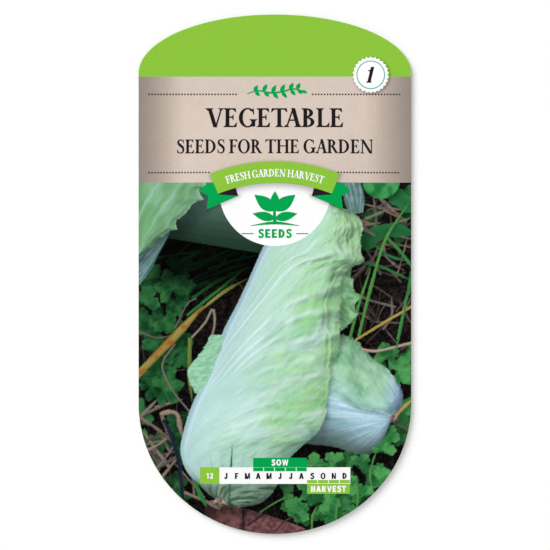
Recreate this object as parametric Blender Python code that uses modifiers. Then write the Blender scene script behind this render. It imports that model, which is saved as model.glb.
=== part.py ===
"""A garden seed packet with a low domed top and a deep round foot, lying on its back.

Two coated paper sheets are cut to one outline and glued together round their rims.
Between them lies a glassine pouch, glued round its own rim, and in that pouch are the seeds.
The packet's front faces +Z and its head points to +Y. The origin is on the surface that the
packet rests on, under the middle of its outline. Units are metres.
"""

import math
import random

import bmesh
import bpy
from mathutils import Euler, Vector

MM = 0.001

# Outline of the packet: straight sides between two half ellipses.
WIDTH = 90 * MM
LENGTH = 171.5 * MM
HEAD_RISE = 19.5 * MM
FOOT_RISE = 43 * MM
HEAD_START = LENGTH / 2 - HEAD_RISE
FOOT_START = FOOT_RISE - LENGTH / 2

# Paper, glue and glassine.
SHEET = 0.2 * MM
GLUE = 0.1 * MM
GLASSINE = 0.12 * MM
GAP = 0.03 * MM

# The stack at the rim, from below: back sheet, glue, front sheet.
RIM_LIFT = 1.0 * MM
BACK_INNER_Z = RIM_LIFT + SHEET
GLUE_Z = BACK_INNER_Z + GAP + GLUE / 2
FRONT_INNER_Z = BACK_INNER_Z + GAP + GLUE + GAP

# The swelling over the contents.
FRONT_SWELL = 1.9 * MM
RIM_GLUE_WIDTH = 6.5 * MM
SIDE_SHOULDER = 22 * MM
END_SHOULDER = 26 * MM
SWELL_LOW_Y = -76 * MM
SWELL_HIGH_Y = 62 * MM
FOOT_FLAT_FROM = 0.5
RIM_GLUE_MARGIN = 0.4 * MM

# The pouch.
POUCH_HALF_WIDTH = 29 * MM
POUCH_LOW_Y = -54 * MM
POUCH_HIGH_Y = 46 * MM
POUCH_CORNER = 8 * MM
POUCH_GLUE_WIDTH = 4 * MM
POUCH_SHOULDER = 10 * MM
POUCH_CLEARANCE = 0.17 * MM

# The seeds.
SEED_LENGTH = 2.8 * MM
SEED_WIDTH = 1.3 * MM
SEED_THICKNESS = 1.0 * MM
SEED_GIRTH = 0.94
SEED_TAPER = 0.2
SEED_ROUNDING = 0.45
SEED_CUT = 0.92
SEED_COLUMNS = 6
SEED_ROWS = 4
SEED_PITCH_X = 6 * MM
SEED_PITCH_Y = 5 * MM
SEED_FIRST_Y = 12 * MM
SEED_JITTER = 0.7 * MM
SEED_REST_GAP = 0.06 * MM
HEAP_HALF_WIDTH = 23 * MM
HEAP_LOW_Y = -48 * MM
HEAP_HIGH_Y = 7 * MM
HEAP_MARGIN = 0.15 * MM
HEAP_SHOULDER = 12 * MM
HEAP_EDGE = 0.3 * MM
HEAP_FULLNESS = 0.96
HEAP_GRAIN = 0.04
HEAP_GRAIN_WAVES = (1900, 1700)

# How finely each shape is divided.
PACKET_SEGMENTS = (24, 44)
POUCH_SEGMENTS = (14, 22)
HEAP_SEGMENTS = (16, 16)
RIM_POINTS = 96
SEAM_POINTS = 64

random.seed(7)


def clear_scene():
    for obj in list(bpy.data.objects):
        bpy.data.objects.remove(obj)


def packet_collection():
    collection = bpy.data.collections.new("seed_packet")
    bpy.context.scene.collection.children.link(collection)
    return collection


def material(name, colour, roughness):
    made = bpy.data.materials.new(name)
    made.use_nodes = True
    shader = made.node_tree.nodes["Principled BSDF"]
    shader.inputs["Base Color"].default_value = (*colour, 1.0)
    shader.inputs["Roughness"].default_value = roughness
    shader.inputs["Metallic"].default_value = 0.0
    return made


def ramp(share):
    """A smooth step from 0 at share 0 to 1 at share 1."""
    t = min(1.0, max(0.0, share))
    return t * t * (3 - 2 * t)


# Outlines: each gives half the width at a height y, or 0 beyond the ends.


def packet_half_width(y, inset=0.0):
    half = WIDTH / 2 - inset
    if y > HEAD_START:
        t = (y - HEAD_START) / (HEAD_RISE - inset)
    elif y < FOOT_START:
        t = (FOOT_START - y) / (FOOT_RISE - inset)
    else:
        t = 0.0
    return half * math.sqrt(max(0.0, 1 - t * t))


def rounded_half_width(y, half, low, high, corner):
    """A rectangle from low to high with round corners."""
    if not low <= y <= high:
        return 0.0
    into = min(y - low, high - y, corner)
    return half - corner + math.sqrt(corner**2 - (corner - into) ** 2)


def packet_outline(inset=0.0):
    return lambda y: packet_half_width(y, inset)


def pouch_outline(inset=0.0):
    return lambda y: rounded_half_width(
        y,
        POUCH_HALF_WIDTH - inset,
        POUCH_LOW_Y + inset,
        POUCH_HIGH_Y - inset,
        POUCH_CORNER - inset,
    )


def heap_outline():
    middle = (HEAP_LOW_Y + HEAP_HIGH_Y) / 2
    reach = (HEAP_HIGH_Y - HEAP_LOW_Y) / 2
    return lambda y: HEAP_HALF_WIDTH * math.sqrt(
        max(0.0, 1 - ((y - middle) / reach) ** 2)
    )


def edge_distance(outline, centre, direction):
    """How far the outline lies from centre along a direction."""
    inside, outside = 0.0, LENGTH
    for _ in range(48):
        middle = (inside + outside) / 2
        point = centre + direction * middle
        if abs(point.x) <= outline(point.y) and outline(point.y) > 0:
            inside = middle
        else:
            outside = middle
    return inside


# Heights, as functions of a place on the packet.


def swell(x, y):
    """0 on the glued rim and 1 over the middle of the contents."""
    side = ramp((packet_half_width(y, RIM_GLUE_WIDTH) - abs(x)) / SIDE_SHOULDER)
    foot = ramp((y - SWELL_LOW_Y) / END_SHOULDER)
    head = ramp((SWELL_HIGH_Y - y) / END_SHOULDER)
    return side * foot * head


def front_inner(x, y):
    return FRONT_INNER_Z + FRONT_SWELL * swell(x, y)


def back_drop(x, y):
    """How far the back sheet hangs below its rim. It is flat where the packet rests on it."""
    return RIM_LIFT * ramp(swell(x, y) / FOOT_FLAT_FROM)


def back_inner(x, y):
    return BACK_INNER_Z - back_drop(x, y)


def pouch_opening(x, y):
    """0 on the pouch's glued rim and 1 well inside it."""
    inset = POUCH_GLUE_WIDTH
    side = ramp((POUCH_HALF_WIDTH - inset - abs(x)) / POUCH_SHOULDER)
    foot = ramp((y - POUCH_LOW_Y - inset) / POUCH_SHOULDER)
    head = ramp((POUCH_HIGH_Y - inset - y) / POUCH_SHOULDER)
    return side * foot * head


def pouch_front_inner(x, y):
    lift = FRONT_SWELL * swell(x, y) - POUCH_CLEARANCE
    return FRONT_INNER_Z + lift * pouch_opening(x, y)


def pouch_back_inner(x, y):
    drop = back_drop(x, y) - POUCH_CLEARANCE
    return BACK_INNER_Z - drop * pouch_opening(x, y)


# Shapes.


def outline_grid(mesh, outline, low, high, segments):
    """A square grid warped to fill an outline, with its middle at the outline's middle."""
    grid = bmesh.ops.create_grid(
        mesh, x_segments=segments[0], y_segments=segments[1], size=1.0
    )
    centre = Vector((0.0, (low + high) / 2))
    stretch = (high - low) / (2 * outline(centre.y))
    for vertex in grid["verts"]:
        u, v = vertex.co.x, vertex.co.y
        disc = Vector((u * math.sqrt(1 - v * v / 2), v * math.sqrt(1 - u * u / 2)))
        share = disc.length
        if share < 1e-9:
            vertex.co = (*centre, 0.0)
            continue
        direction = Vector((disc.x, disc.y * stretch)).normalized()
        place = centre + direction * edge_distance(outline, centre, direction) * share
        vertex.co = (*place, 0.0)
    return grid["verts"]


def new_object(name, data, collection, finish):
    data.materials.append(finish)
    obj = bpy.data.objects.new(name, data)
    collection.objects.link(obj)
    return obj


def finished_mesh(mesh, name):
    data = bpy.data.meshes.new(name)
    mesh.to_mesh(data)
    mesh.free()
    data.shade_smooth()
    data.set_sharp_from_angle(angle=math.radians(40))
    return data


def sheet(name, outline, ends, height, thickness, segments, collection, finish):
    """A sheet that follows a height function on its inner side, thickened away from it."""
    mesh = bmesh.new()
    for vertex in outline_grid(mesh, outline, *ends, segments):
        vertex.co.z = height(vertex.co.x, vertex.co.y)
    data = bpy.data.meshes.new(name)
    mesh.to_mesh(data)
    mesh.free()
    data.shade_smooth()
    obj = new_object(name, data, collection, finish)
    solidify = obj.modifiers.new("thickness", "SOLIDIFY")
    solidify.thickness = abs(thickness)
    solidify.offset = 1.0 if thickness > 0 else -1.0
    return obj


def rim_points(outline, ends, count):
    """Points round an outline, evenly turned about its middle."""
    low, high = ends
    centre = Vector((0.0, (low + high) / 2))
    stretch = (high - low) / (2 * outline(centre.y))
    points = []
    for index in range(count):
        angle = 2 * math.pi * index / count
        direction = Vector((math.cos(angle), math.sin(angle) * stretch)).normalized()
        points.append(centre + direction * edge_distance(outline, centre, direction))
    return points


def glue_band(name, outer, inner, count, collection, finish):
    """A flat ring of glue between two outlines, each given with its ends."""
    curve = bpy.data.curves.new(name, "CURVE")
    curve.dimensions = "2D"
    curve.fill_mode = "BOTH"
    curve.extrude = GLUE / 2
    for outline, ends in (outer, inner):
        points = rim_points(outline, ends, count)
        spline = curve.splines.new("POLY")
        spline.use_cyclic_u = True
        spline.points.add(len(points) - 1)
        for target, point in zip(spline.points, points):
            target.co = (point.x, point.y, 0.0, 1.0)
    band = new_object(name, curve, collection, finish)
    band.location.z = GLUE_Z
    return band


def heap_height(x, y, outline):
    """The heap's thickness as a share of the room in the pouch."""
    room = outline(y) - abs(x)
    ends = min(y - HEAP_LOW_Y, HEAP_HIGH_Y - y)
    waves = math.sin(x * HEAP_GRAIN_WAVES[0]) * math.sin(y * HEAP_GRAIN_WAVES[1])
    fullness = ramp(min(room, ends) / HEAP_SHOULDER)
    return fullness * (HEAP_FULLNESS + HEAP_GRAIN * waves)


def seed_heap(collection, finish):
    """The settled seeds, joined in one solid that fills the lower part of the pouch."""
    outline = heap_outline()
    mesh = bmesh.new()
    top = outline_grid(mesh, outline, HEAP_LOW_Y, HEAP_HIGH_Y, HEAP_SEGMENTS)
    rim = [edge for edge in mesh.edges if edge.is_boundary]
    base = bmesh.ops.duplicate(mesh, geom=mesh.faces[:] + mesh.edges[:] + mesh.verts[:])
    floor = [item for item in base["geom"] if isinstance(item, bmesh.types.BMVert)]
    for vertex in floor:
        vertex.co.z = pouch_back_inner(vertex.co.x, vertex.co.y) + HEAP_MARGIN
    for vertex in top:
        x, y = vertex.co.x, vertex.co.y
        bottom = pouch_back_inner(x, y) + HEAP_MARGIN
        room = pouch_front_inner(x, y) - HEAP_MARGIN - bottom - HEAP_EDGE
        vertex.co.z = bottom + HEAP_EDGE + room * heap_height(x, y, outline)
    lower_rim = [
        item
        for item in base["geom"]
        if isinstance(item, bmesh.types.BMEdge) and item.is_boundary
    ]
    bmesh.ops.bridge_loops(mesh, edges=rim + lower_rim)
    bmesh.ops.recalc_face_normals(mesh, faces=mesh.faces)
    return new_object(
        "seed_heap", finished_mesh(mesh, "seed_heap"), collection, finish
    )


def seed_mesh(finish):
    """One ribbed seed lying along X: blunt and wide at its crown, narrow at its foot."""
    mesh = bmesh.new()
    ball = bmesh.ops.create_uvsphere(mesh, u_segments=6, v_segments=6, radius=1.0)
    for vertex in ball["verts"]:
        along = max(-SEED_CUT, min(SEED_CUT, vertex.co.z))
        rounding = math.sqrt((1 - SEED_ROUNDING * along**2) / (1 - along**2))
        girth = (SEED_GIRTH + SEED_TAPER * along) * rounding / 2
        vertex.co = (
            along / SEED_CUT * SEED_LENGTH / 2,
            vertex.co.x * girth * SEED_WIDTH,
            vertex.co.y * girth * SEED_THICKNESS,
        )
    data = finished_mesh(mesh, "seed")
    data.materials.append(finish)
    return data


def loose_seeds(collection, finish):
    """Seeds lying singly on the pouch's back web, above the heap."""
    data = seed_mesh(finish)
    for index in range(SEED_COLUMNS * SEED_ROWS):
        row, column = divmod(index, SEED_COLUMNS)
        x = (column - (SEED_COLUMNS - 1) / 2) * SEED_PITCH_X
        y = SEED_FIRST_Y + row * SEED_PITCH_Y
        x += random.uniform(-SEED_JITTER, SEED_JITTER)
        y += random.uniform(-SEED_JITTER, SEED_JITTER)
        seed = bpy.data.objects.new(f"seed_{index + 1:02d}", data)
        collection.objects.link(seed)
        z = pouch_back_inner(x, y) + SEED_REST_GAP + SEED_THICKNESS / 2
        seed.location = (x, y, z)
        seed.rotation_euler = Euler((0.0, 0.0, random.uniform(0, 2 * math.pi)))


def build():
    clear_scene()
    collection = packet_collection()
    paper = material("coated_paper", (0.83, 0.80, 0.74), 0.45)
    back_paper = material("back_paper", (0.86, 0.84, 0.79), 0.5)
    glue = material("glue", (0.85, 0.82, 0.70), 0.6)
    glassine = material("glassine", (0.80, 0.78, 0.68), 0.35)
    seed = material("seed", (0.32, 0.21, 0.12), 0.7)

    whole = (-LENGTH / 2, LENGTH / 2)
    pouch_ends = (POUCH_LOW_Y, POUCH_HIGH_Y)
    sheet(
        "front_sheet", packet_outline(), whole, front_inner, SHEET,
        PACKET_SEGMENTS, collection, paper,
    )
    sheet(
        "back_sheet", packet_outline(), whole, back_inner, -SHEET,
        PACKET_SEGMENTS, collection, back_paper,
    )
    rim = []
    for inset in (RIM_GLUE_MARGIN, RIM_GLUE_WIDTH):
        rim.append((packet_outline(inset), (inset - LENGTH / 2, LENGTH / 2 - inset)))
    glue_band("rim_glue", *rim, RIM_POINTS, collection, glue)

    sheet(
        "pouch_front", pouch_outline(), pouch_ends, pouch_front_inner, GLASSINE,
        POUCH_SEGMENTS, collection, glassine,
    )
    sheet(
        "pouch_back", pouch_outline(), pouch_ends, pouch_back_inner, -GLASSINE,
        POUCH_SEGMENTS, collection, glassine,
    )
    seam = []
    for inset in (RIM_GLUE_MARGIN, POUCH_GLUE_WIDTH):
        seam.append((pouch_outline(inset), (POUCH_LOW_Y + inset, POUCH_HIGH_Y - inset)))
    glue_band("pouch_glue", *seam, SEAM_POINTS, collection, glue)

    seed_heap(collection, seed)
    loose_seeds(collection, seed)


build()
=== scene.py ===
"""Looks for the garden seed packet: printed paper, its back, and the seeds inside.

The packet lies on its back, its printed front facing +Z and its head pointing to +Y.
Print is laid out in millimetres from the packet's centre. Blender's units are metres.
The picture on the front is a small relief scene, a garden bed with two heads of chicory,
which is looked at from straight above and stored as one colour for each point of the print.
"""

import math

import bmesh
import bpy
import numpy as np
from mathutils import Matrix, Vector
from mathutils.bvhtree import BVHTree
from mathutils.geometry import delaunay_2d_cdt

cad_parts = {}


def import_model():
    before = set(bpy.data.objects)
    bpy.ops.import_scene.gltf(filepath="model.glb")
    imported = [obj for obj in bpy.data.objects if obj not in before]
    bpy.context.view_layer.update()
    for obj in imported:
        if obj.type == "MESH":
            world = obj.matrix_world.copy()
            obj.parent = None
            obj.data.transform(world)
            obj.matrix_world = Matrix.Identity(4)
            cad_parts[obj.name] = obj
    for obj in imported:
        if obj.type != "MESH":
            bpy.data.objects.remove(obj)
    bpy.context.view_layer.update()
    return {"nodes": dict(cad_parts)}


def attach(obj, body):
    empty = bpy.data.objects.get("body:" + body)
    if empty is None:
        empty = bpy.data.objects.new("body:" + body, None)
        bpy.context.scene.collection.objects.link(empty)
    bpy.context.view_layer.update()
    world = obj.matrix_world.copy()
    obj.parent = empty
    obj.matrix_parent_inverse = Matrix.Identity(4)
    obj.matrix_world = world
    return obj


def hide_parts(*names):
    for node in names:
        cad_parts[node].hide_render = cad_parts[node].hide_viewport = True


MM = 0.001

# The packet's outline and heights, as the CAD model has them, in millimetres.
WIDTH = 90.0
LENGTH = 171.5
HEAD_RISE = 19.5
FOOT_RISE = 43.0
HEAD_START = LENGTH / 2 - HEAD_RISE
FOOT_START = FOOT_RISE - LENGTH / 2
SHEET = 0.2
RIM_LIFT = 1.0
FRONT_INNER = 1.36
FRONT_SWELL = 1.9
RIM_GLUE_WIDTH = 6.5
SIDE_SHOULDER = 22.0
END_SHOULDER = 26.0
SWELL_LOW_Y = -76.0
SWELL_HIGH_Y = 62.0
FOOT_FLAT_FROM = 0.5

# The layers of the front, above the sheet's inner side.
PAPER_TOP = SHEET - 0.04
ZONE_INK = 0.03
LAYER_STEP = 0.025

# Where the printed zones meet.
CAP_Y = 65.25
PICTURE_Y = 30.25

# The ribbon is a piece of a ring.
RING_Y = -20.1
RING_INNER = 50.2
RING_OUTER = 57.3
RING_TURN = math.radians(21.9)

# Ink colours, sRGB 0 to 255.
LEAF_GREEN = (141, 197, 62)
DEEP_GREEN = (3, 164, 80)
WHITE = (255, 254, 254)
INK_BLACK = (32, 28, 30)
FOLD_BLACK = (38, 28, 38)
BADGE_TEAL = (70, 178, 150)


# ---------------------------------------------------------------- numbers, colours and noise


def ramp(t):
    """A smooth step from 0 at 0 to 1 at 1."""
    t = np.clip(t, 0.0, 1.0)
    return t * t * (3 - 2 * t)


def rise(value, start, span):
    """0 up to start, then a smooth step to 1."""
    return ramp((value - start) / span)


def fall(value, end, span):
    """A smooth step down from 1, which reaches 0 at end."""
    return ramp((end - value) / span)


def near(distance, width):
    """1 on a line, fading to both sides of it."""
    return np.exp(-((distance / width) ** 2))


def linear(colour):
    """A printed colour, sRGB 0 to 255, as linear light."""
    share = np.asarray(colour, float) / 255.0
    return np.where(share <= 0.04045, share / 12.92, ((share + 0.055) / 1.055) ** 2.4)


def mix(first, second, share):
    share = np.asarray(share)[..., None]
    return first * (1 - share) + second * share


def between(first, second, share):
    """A mix of two printed colours."""
    return mix(linear(first), linear(second), share)


def tint(colour, print_colour, share):
    """Some of a printed colour over a colour."""
    return mix(colour, linear(print_colour), share)


def lattice(ix, iy, seed):
    """A random value, 0 to 1, for each whole place."""
    n = (ix * 374761393 + iy * 668265263 + seed * 974634777) & 0xFFFFFFFF
    n = ((n ^ (n >> 13)) * 1274126177) & 0xFFFFFFFF
    return ((n ^ (n >> 16)) & 0xFFFF) / 65535.0


def noise(x, y, seed=0):
    """Smooth noise, 0 to 1, with a wave a unit."""
    x, y = np.broadcast_arrays(np.asarray(x, float), np.asarray(y, float))
    ix, iy = np.floor(x).astype(np.int64), np.floor(y).astype(np.int64)
    fx, fy = ramp(x - ix), ramp(y - iy)
    low = lattice(ix, iy, seed) * (1 - fx) + lattice(ix + 1, iy, seed) * fx
    high = lattice(ix, iy + 1, seed) * (1 - fx) + lattice(ix + 1, iy + 1, seed) * fx
    return low * (1 - fy) + high * fy


def fbm(x, y, octaves=4, seed=0):
    """Noise in several sizes; each octave is turned and twice as fine as the one before."""
    total, weight, gain = 0.0, 0.0, 1.0
    for octave in range(octaves):
        total = total + gain * noise(x, y, seed + octave)
        x, y = 1.6 * x - 1.2 * y, 1.2 * x + 1.6 * y
        weight += gain
        gain *= 0.55
    return total / weight


def crests(x, y, seed):
    """Sharp crests between rounded hollows, 0 to 1."""
    return 1 - np.abs(2 * fbm(x, y, 3, seed) - 1)


def smooth_line(points, count):
    """Even steps along a Catmull-Rom curve through a few points."""
    p = np.array(points, float)
    p = np.vstack([2 * p[0] - p[1], p, 2 * p[-1] - p[-2]])
    u = np.linspace(0, 1, 24, endpoint=False)[:, None]
    runs = []
    for a, b, c, d in zip(p, p[1:], p[2:], p[3:]):
        square, cube = 2 * a - 5 * b + 4 * c - d, 3 * b - a - 3 * c + d
        runs.append(0.5 * (2 * b + (c - a) * u + square * u**2 + cube * u**3))
    line = np.vstack([*runs, p[-2:-1]])
    far = np.r_[0, np.cumsum(np.linalg.norm(np.diff(line, axis=0), axis=1))]
    steps = np.linspace(0, far[-1], count)
    return np.column_stack([np.interp(steps, far, line[:, k]) for k in range(line.shape[1])])


def sides_of(line):
    """The unit vector to the left at each point of a line."""
    step = np.gradient(line[:, :2], axis=0)
    step /= np.linalg.norm(step, axis=1, keepdims=True)
    return np.column_stack([-step[:, 1], step[:, 0]])


# ---------------------------------------------------------------- the picture's relief


rng = np.random.default_rng(11)


class Relief:
    """The garden bed as triangles. Each point has a place on its leaf, each face a kind and a tone."""

    def __init__(self):
        self.points, self.places, self.faces, self.tags = [], [], [], []
        self.count = 0

    def add(self, kind, x, y, z, s, t, tone=0.5):
        """Adds a grid of points in millimetres; s and t are the places used by its colours."""
        x, y, z, s, t = np.broadcast_arrays(x, y, z, s, t)
        quads = grid_quads(*x.shape, self.count)
        self.faces.append(np.vstack([quads[:, [0, 1, 2]], quads[:, [0, 2, 3]]]))
        self.points.append(np.stack([x, y, z], axis=-1).reshape(-1, 3))
        self.places.append(np.stack([s, t], axis=-1).reshape(-1, 2))
        self.tags.append(np.tile([KINDS.index(kind), tone], (2 * len(quads), 1)))
        self.count += x.size

    def build(self):
        """Joins the grids, works out smooth normals and prepares the search tree."""
        self.points, self.places = np.vstack(self.points), np.vstack(self.places)
        self.faces, self.tags = np.vstack(self.faces), np.vstack(self.tags)
        corners = self.points[self.faces]
        flat = np.cross(corners[:, 1] - corners[:, 0], corners[:, 2] - corners[:, 0])
        flat *= np.where(flat[:, 2:] < 0, -1, 1)
        self.normals = np.zeros_like(self.points)
        for k in range(3):
            np.add.at(self.normals, self.faces[:, k], flat)
        self.normals /= np.maximum(np.linalg.norm(self.normals, axis=1, keepdims=True), 1e-9)
        self.tree = BVHTree.FromPolygons(self.points.tolist(), self.faces.tolist(), all_triangles=True)


def grid_quads(rows, columns, start=0):
    index = start + np.arange(rows * columns).reshape(rows, columns)
    corners = (index[:-1, :-1], index[:-1, 1:], index[1:, 1:], index[1:, :-1])
    return np.stack(corners, axis=-1).reshape(-1, 4)


def ruled(relief, kind, left, right, rows, columns, height, tone=0.5):
    """A surface between two edge curves; height(s, t) gives a sideways shift and a relief in mm."""
    a, b = smooth_line(left, rows), smooth_line(right, rows)
    s = np.linspace(0, 1, columns)[None, :]
    t = np.linspace(0, 1, rows)[:, None]
    x = a[:, :1] * (1 - s) + b[:, :1] * s
    y = a[:, 1:2] * (1 - s) + b[:, 1:2] * s
    shift, z = height(s, t)
    relief.add(kind, x + shift[0], y + shift[1], z, s, t, tone)


def ribbon(relief, kind, points, width, tone=0.5, crease=0.25, taper=True, rows=26):
    """A creased blade or twig along a smooth line of (x, y, z)."""
    line = smooth_line(points, rows)
    side = sides_of(line)
    t = np.linspace(0, 1, rows)[:, None]
    s = np.linspace(-1, 1, 5)[None, :]
    uneven = 0.75 + 0.5 * noise(t * 6, line[0, 0], 37)
    half = width / 2 * uneven * (np.minimum(1, (1.02 - t) * 3) ** 0.7 if taper else 1)
    x = line[:, :1] + side[:, :1] * s * half
    y = line[:, 1:2] + side[:, 1:2] * s * half
    relief.add(kind, x, y, line[:, 2:3] + crease * width * (1 - s * s), s, t, tone)


LOBE_PITCH = {1: 5.0, 3: 1.45, 5: 1.05}
LEAF_TILT = 0.45


def lobed_leaf(relief, kind, x, y, z, size, angle, tone, lobes=3):
    """A leaf of broad lobes with a few blunt teeth, slightly cupped and tilted."""
    tilt_x, tilt_y = rng.uniform(-LEAF_TILT, LEAF_TILT, 2)
    turn = np.linspace(-math.pi, math.pi, 97)[None, :]
    out = np.linspace(0, 1, 9)[:, None]
    pitch = LOBE_PITCH[lobes]
    nearest = np.clip(np.round(turn / pitch + (lobes - 1) / 2), 0, lobes - 1) - (lobes - 1) / 2
    off = turn - nearest * pitch
    lobe = np.maximum(0.0, np.cos(np.clip(off / (1.1 * pitch), -0.5, 0.5) * math.pi)) ** 0.45
    reach = (0.30 + 0.63 * lobe) * (1 - 0.10 * np.abs(nearest))
    reach = reach * (1 - 0.7 * near(math.pi - np.abs(turn), 0.3))
    reach = reach + (0.05 * lobe * np.cos(off * 12) if lobes > 1 else 0.0)
    u, v = out * reach * np.cos(turn), out * reach * np.sin(turn)
    rib = 0.05 * near(off * out, 0.06) * out
    fold = 0.30 * np.minimum(np.abs(off), 0.6) * out * lobe
    wave = 0.05 * np.cos(off * 7) * out**2 - 0.14 * out**2 - rib + fold
    px = x + size * (u * math.cos(angle) - v * math.sin(angle))
    py = y + size * (u * math.sin(angle) + v * math.cos(angle))
    relief.add(kind, px, py, z + size * (wave + tilt_x * u + tilt_y * v), u, v, tone)


def teeth(t, count, seed):
    """Leaf-margin teeth: short points at uneven places."""
    place = t * count + 1.3 * noise(t * count * 0.37, seed, seed)
    saw = place - np.floor(place)
    return saw**2 * noise(np.floor(place), seed + 3.5, seed)


# ---------------------------------------------------------------- the chicory heads


# Outlines, in millimetres of print from the packet's centre, from the foot of each head up.
HEAD_LEFT = [(-13, -77), (-20, -74), (-25, -69.5), (-28.5, -66), (-30.5, -61.5), (-31, -56), (-28, -45),
             (-23, -34), (-17.5, -20), (-10, -4.5), (-3.5, 9.5), (4.5, 20.5), (14, 25)]
HEAD_RIGHT = [(-11.5, -77), (-6, -76), (-2.5, -74), (0.5, -70), (4, -62), (8.5, -57), (14, -52),
              (16.5, -47), (17, -42), (18.5, -36), (20, -29), (21.5, -21.5), (21.5, -15), (22, -8.5),
              (22, -3.5), (23, 0.5), (25.5, 2.5), (29.5, 4), (28.5, 7.5), (28.5, 11.5), (29, 15.5),
              (28, 18.5), (24.5, 21), (20.5, 22)]
FRILL_LEFT = [(15, -18.5), (18, -8.5), (21, 1.5), (23, 4)]
FRILL_RIGHT = [(19.5, -20), (21.5, -19), (24.5, -16.5), (27, -13.5), (26.5, -10), (27.5, -7.5), (26, -4),
               (25, 0.5), (24, 3.5)]
SECOND_TOP = [(12, -23), (18, -20), (22, -20.2), (25.5, -21.3), (29, -24.5), (33, -28.5), (37.8, -32),
              (41.5, -37.5), (42.3, -41.5), (40.8, -46.5)]
SECOND_LOW = [(3, -50), (8, -55.5), (11.5, -56), (20, -57), (27, -59.5), (32.5, -59), (35.4, -56.5),
              (36.4, -52), (38, -49.5), (40.6, -47.5)]

# Where each head was cut from its root.
FIRST_STUMP = (-18.0, -75.2)
SECOND_STUMP = (39.3, -47.6)

# The head's ribs: where each one leaves the left edge, and how plain it is.
RIBS = (
    (0.10, 0.15), (0.14, 0.25), (0.165, 0.2), (0.20, 0.35), (0.228, 0.25), (0.262, 0.45), (0.280, 0.6),
    (0.304, 0.7), (0.335, 0.9), (0.372, 0.35), (0.418, 1.0), (0.458, 0.8), (0.50, 0.5), (0.545, 0.6),
    (0.60, 0.4),
)

# Where the outer leaf's rolled edge runs: how far up the head, and how far across.
LIP = ((0.36, 1.02), (0.50, 0.96), (0.60, 0.88), (0.66, 0.85), (0.72, 0.915), (0.79, 0.92), (0.86, 0.86),
       (1.0, 0.8))


def rib_flow(s, t):
    """Which rib a place is on: ribs leave the left edge steeply and fan out to the right."""
    fan = 1 - np.exp(-s / 0.3)
    return (t - 0.12 * fan) / (1 + 0.78 * fan) + 0.008 * (fbm(s * 5, t * 6, 2, 70) - 0.5)


def rib_lines(flow, s, width):
    """How near a place is to a rib, times how plain the rib is; faint ribs start well in from the left."""
    lines = 0.0
    for place, strength in RIBS:
        plain = strength * rise(s, 0.32 - 0.36 * strength, 0.15)
        lines = np.maximum(lines, plain * near(flow - place, width))
    return lines


def lip_place(t):
    """The rolled edge as a share of the way across."""
    up, across = np.array(LIP).T
    return np.interp(t, up, across) + 0.045 * (fbm(t * 30, 4.5, 2, 36) - 0.5)


def head_creases(s, t, flow):
    """Ribs, fine folds and the blistered tip; the left side is smooth."""
    outward = rise(s, 0.40, 0.4)
    calm = 0.12 + 0.88 * ramp(s / 0.5)
    fine = calm * 0.7 * (fbm(flow * 70, s * 6, 3, 8) + crests(flow * 40, s * 8, 5))
    ribs = (0.35 + 0.75 * outward) * rib_lines(flow, s, 0.010)
    folds = 2.4 * outward * (0.2 + 0.8 * rise(t, 0.30, 0.3)) * (fbm(flow * 40, s * 5, 2, 24) - 0.5)
    tip = rise(s, 0.38, 0.4) * rise(t, 0.72, 0.18)
    blisters = 3.0 * (crests(flow * 22 + s * 3, s * 6 + t * 5, 33) - 0.5) + crests(s * 20, t * 26, 34)
    return fine + ribs + folds + tip * blisters


def head_height(s, t):
    flow, lip = rib_flow(s, t), lip_place(t)
    across, along = np.clip(s * 0.94 + 0.03, 0, 1), np.clip(t * 0.9 + 0.08, 0, 1)
    body = 9 * np.sin(np.pi * across) ** 0.7 * np.sin(np.pi * along) ** 0.35
    roll = 0.7 * near(s - lip, 0.018) * rise(t, 0.3, 0.2) * (0.25 + 1.1 * noise(t * 34, 1.5, 35))
    beyond = 1 - fall(s, lip, 0.05)
    step = 1.0 * beyond * fall(s, 0.97, 0.1) * rise(t, 0.30, 0.3)
    ruffle = 1.6 * (fbm(flow * 60, s * 14, 3, 21) - 0.5) + 0.8 * np.sin(t * 96 + 5 * noise(t * 13, 2, 3))
    z = body + head_creases(s, t, flow) + roll - step + beyond * ruffle * rise(t, 0.35, 0.3)
    margin = rise(s, 0.86, 0.14) * (0.2 + 0.8 * rise(t, 0.25, 0.2))
    push = margin * (0.8 * teeth(t, 46, 4) - 0.25 + 1.0 * (fbm(t * 22, 1.5, 2, 6) - 0.5))
    left = fall(s, 0.1, 0.1) * (fbm(t * 14, 7.5, 2, 9) - 0.5) * 0.5
    return (push - left, -0.4 * push), z


def second_border(t):
    """Where the green outer leaf of the second head ends and its white ribs show."""
    return 0.47 + 0.08 * np.sin(t * 3.4 + 0.4) + 0.02 * np.sin(t * 17) - 0.36 * rise(t, 0.74, 0.26)


def second_height(s, t):
    border = second_border(t)
    body = 10 * np.sin(np.pi * np.clip(s * 0.9 + 0.06, 0, 1)) ** 0.8 * (1 - 0.55 * rise(t, 0.6, 0.4)) - 8.5
    below = rise(s, border, 0.08)
    lift = 0.9 * fall(s, border, 0.09)
    ribs = 0.35 * fbm(s * 14 + t * 3, t * 2.2, 3, 12) * below
    rings = 0.5 * np.sin(26 * np.hypot(t - 0.52, 0.9 * (s - 0.2)) + 3 * fbm(s * 5, t * 5, 2, 15))
    blisters = 1.2 * crests(s * 9, t * 8, 14) * (1 - 0.7 * below)
    edge = fall(s, 0.12, 0.12) * (0.7 * teeth(t, 12, 5) + 1.2 * (fbm(t * 12, 2.5, 2, 7) - 0.5))
    low = 0.6 * rise(s, 0.9, 0.1) * (fbm(t * 15, 4.5, 2, 2) - 0.5)
    return (edge * 0.3, edge - low), body + lift + ribs + rings * (1 - below) + blisters


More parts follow.
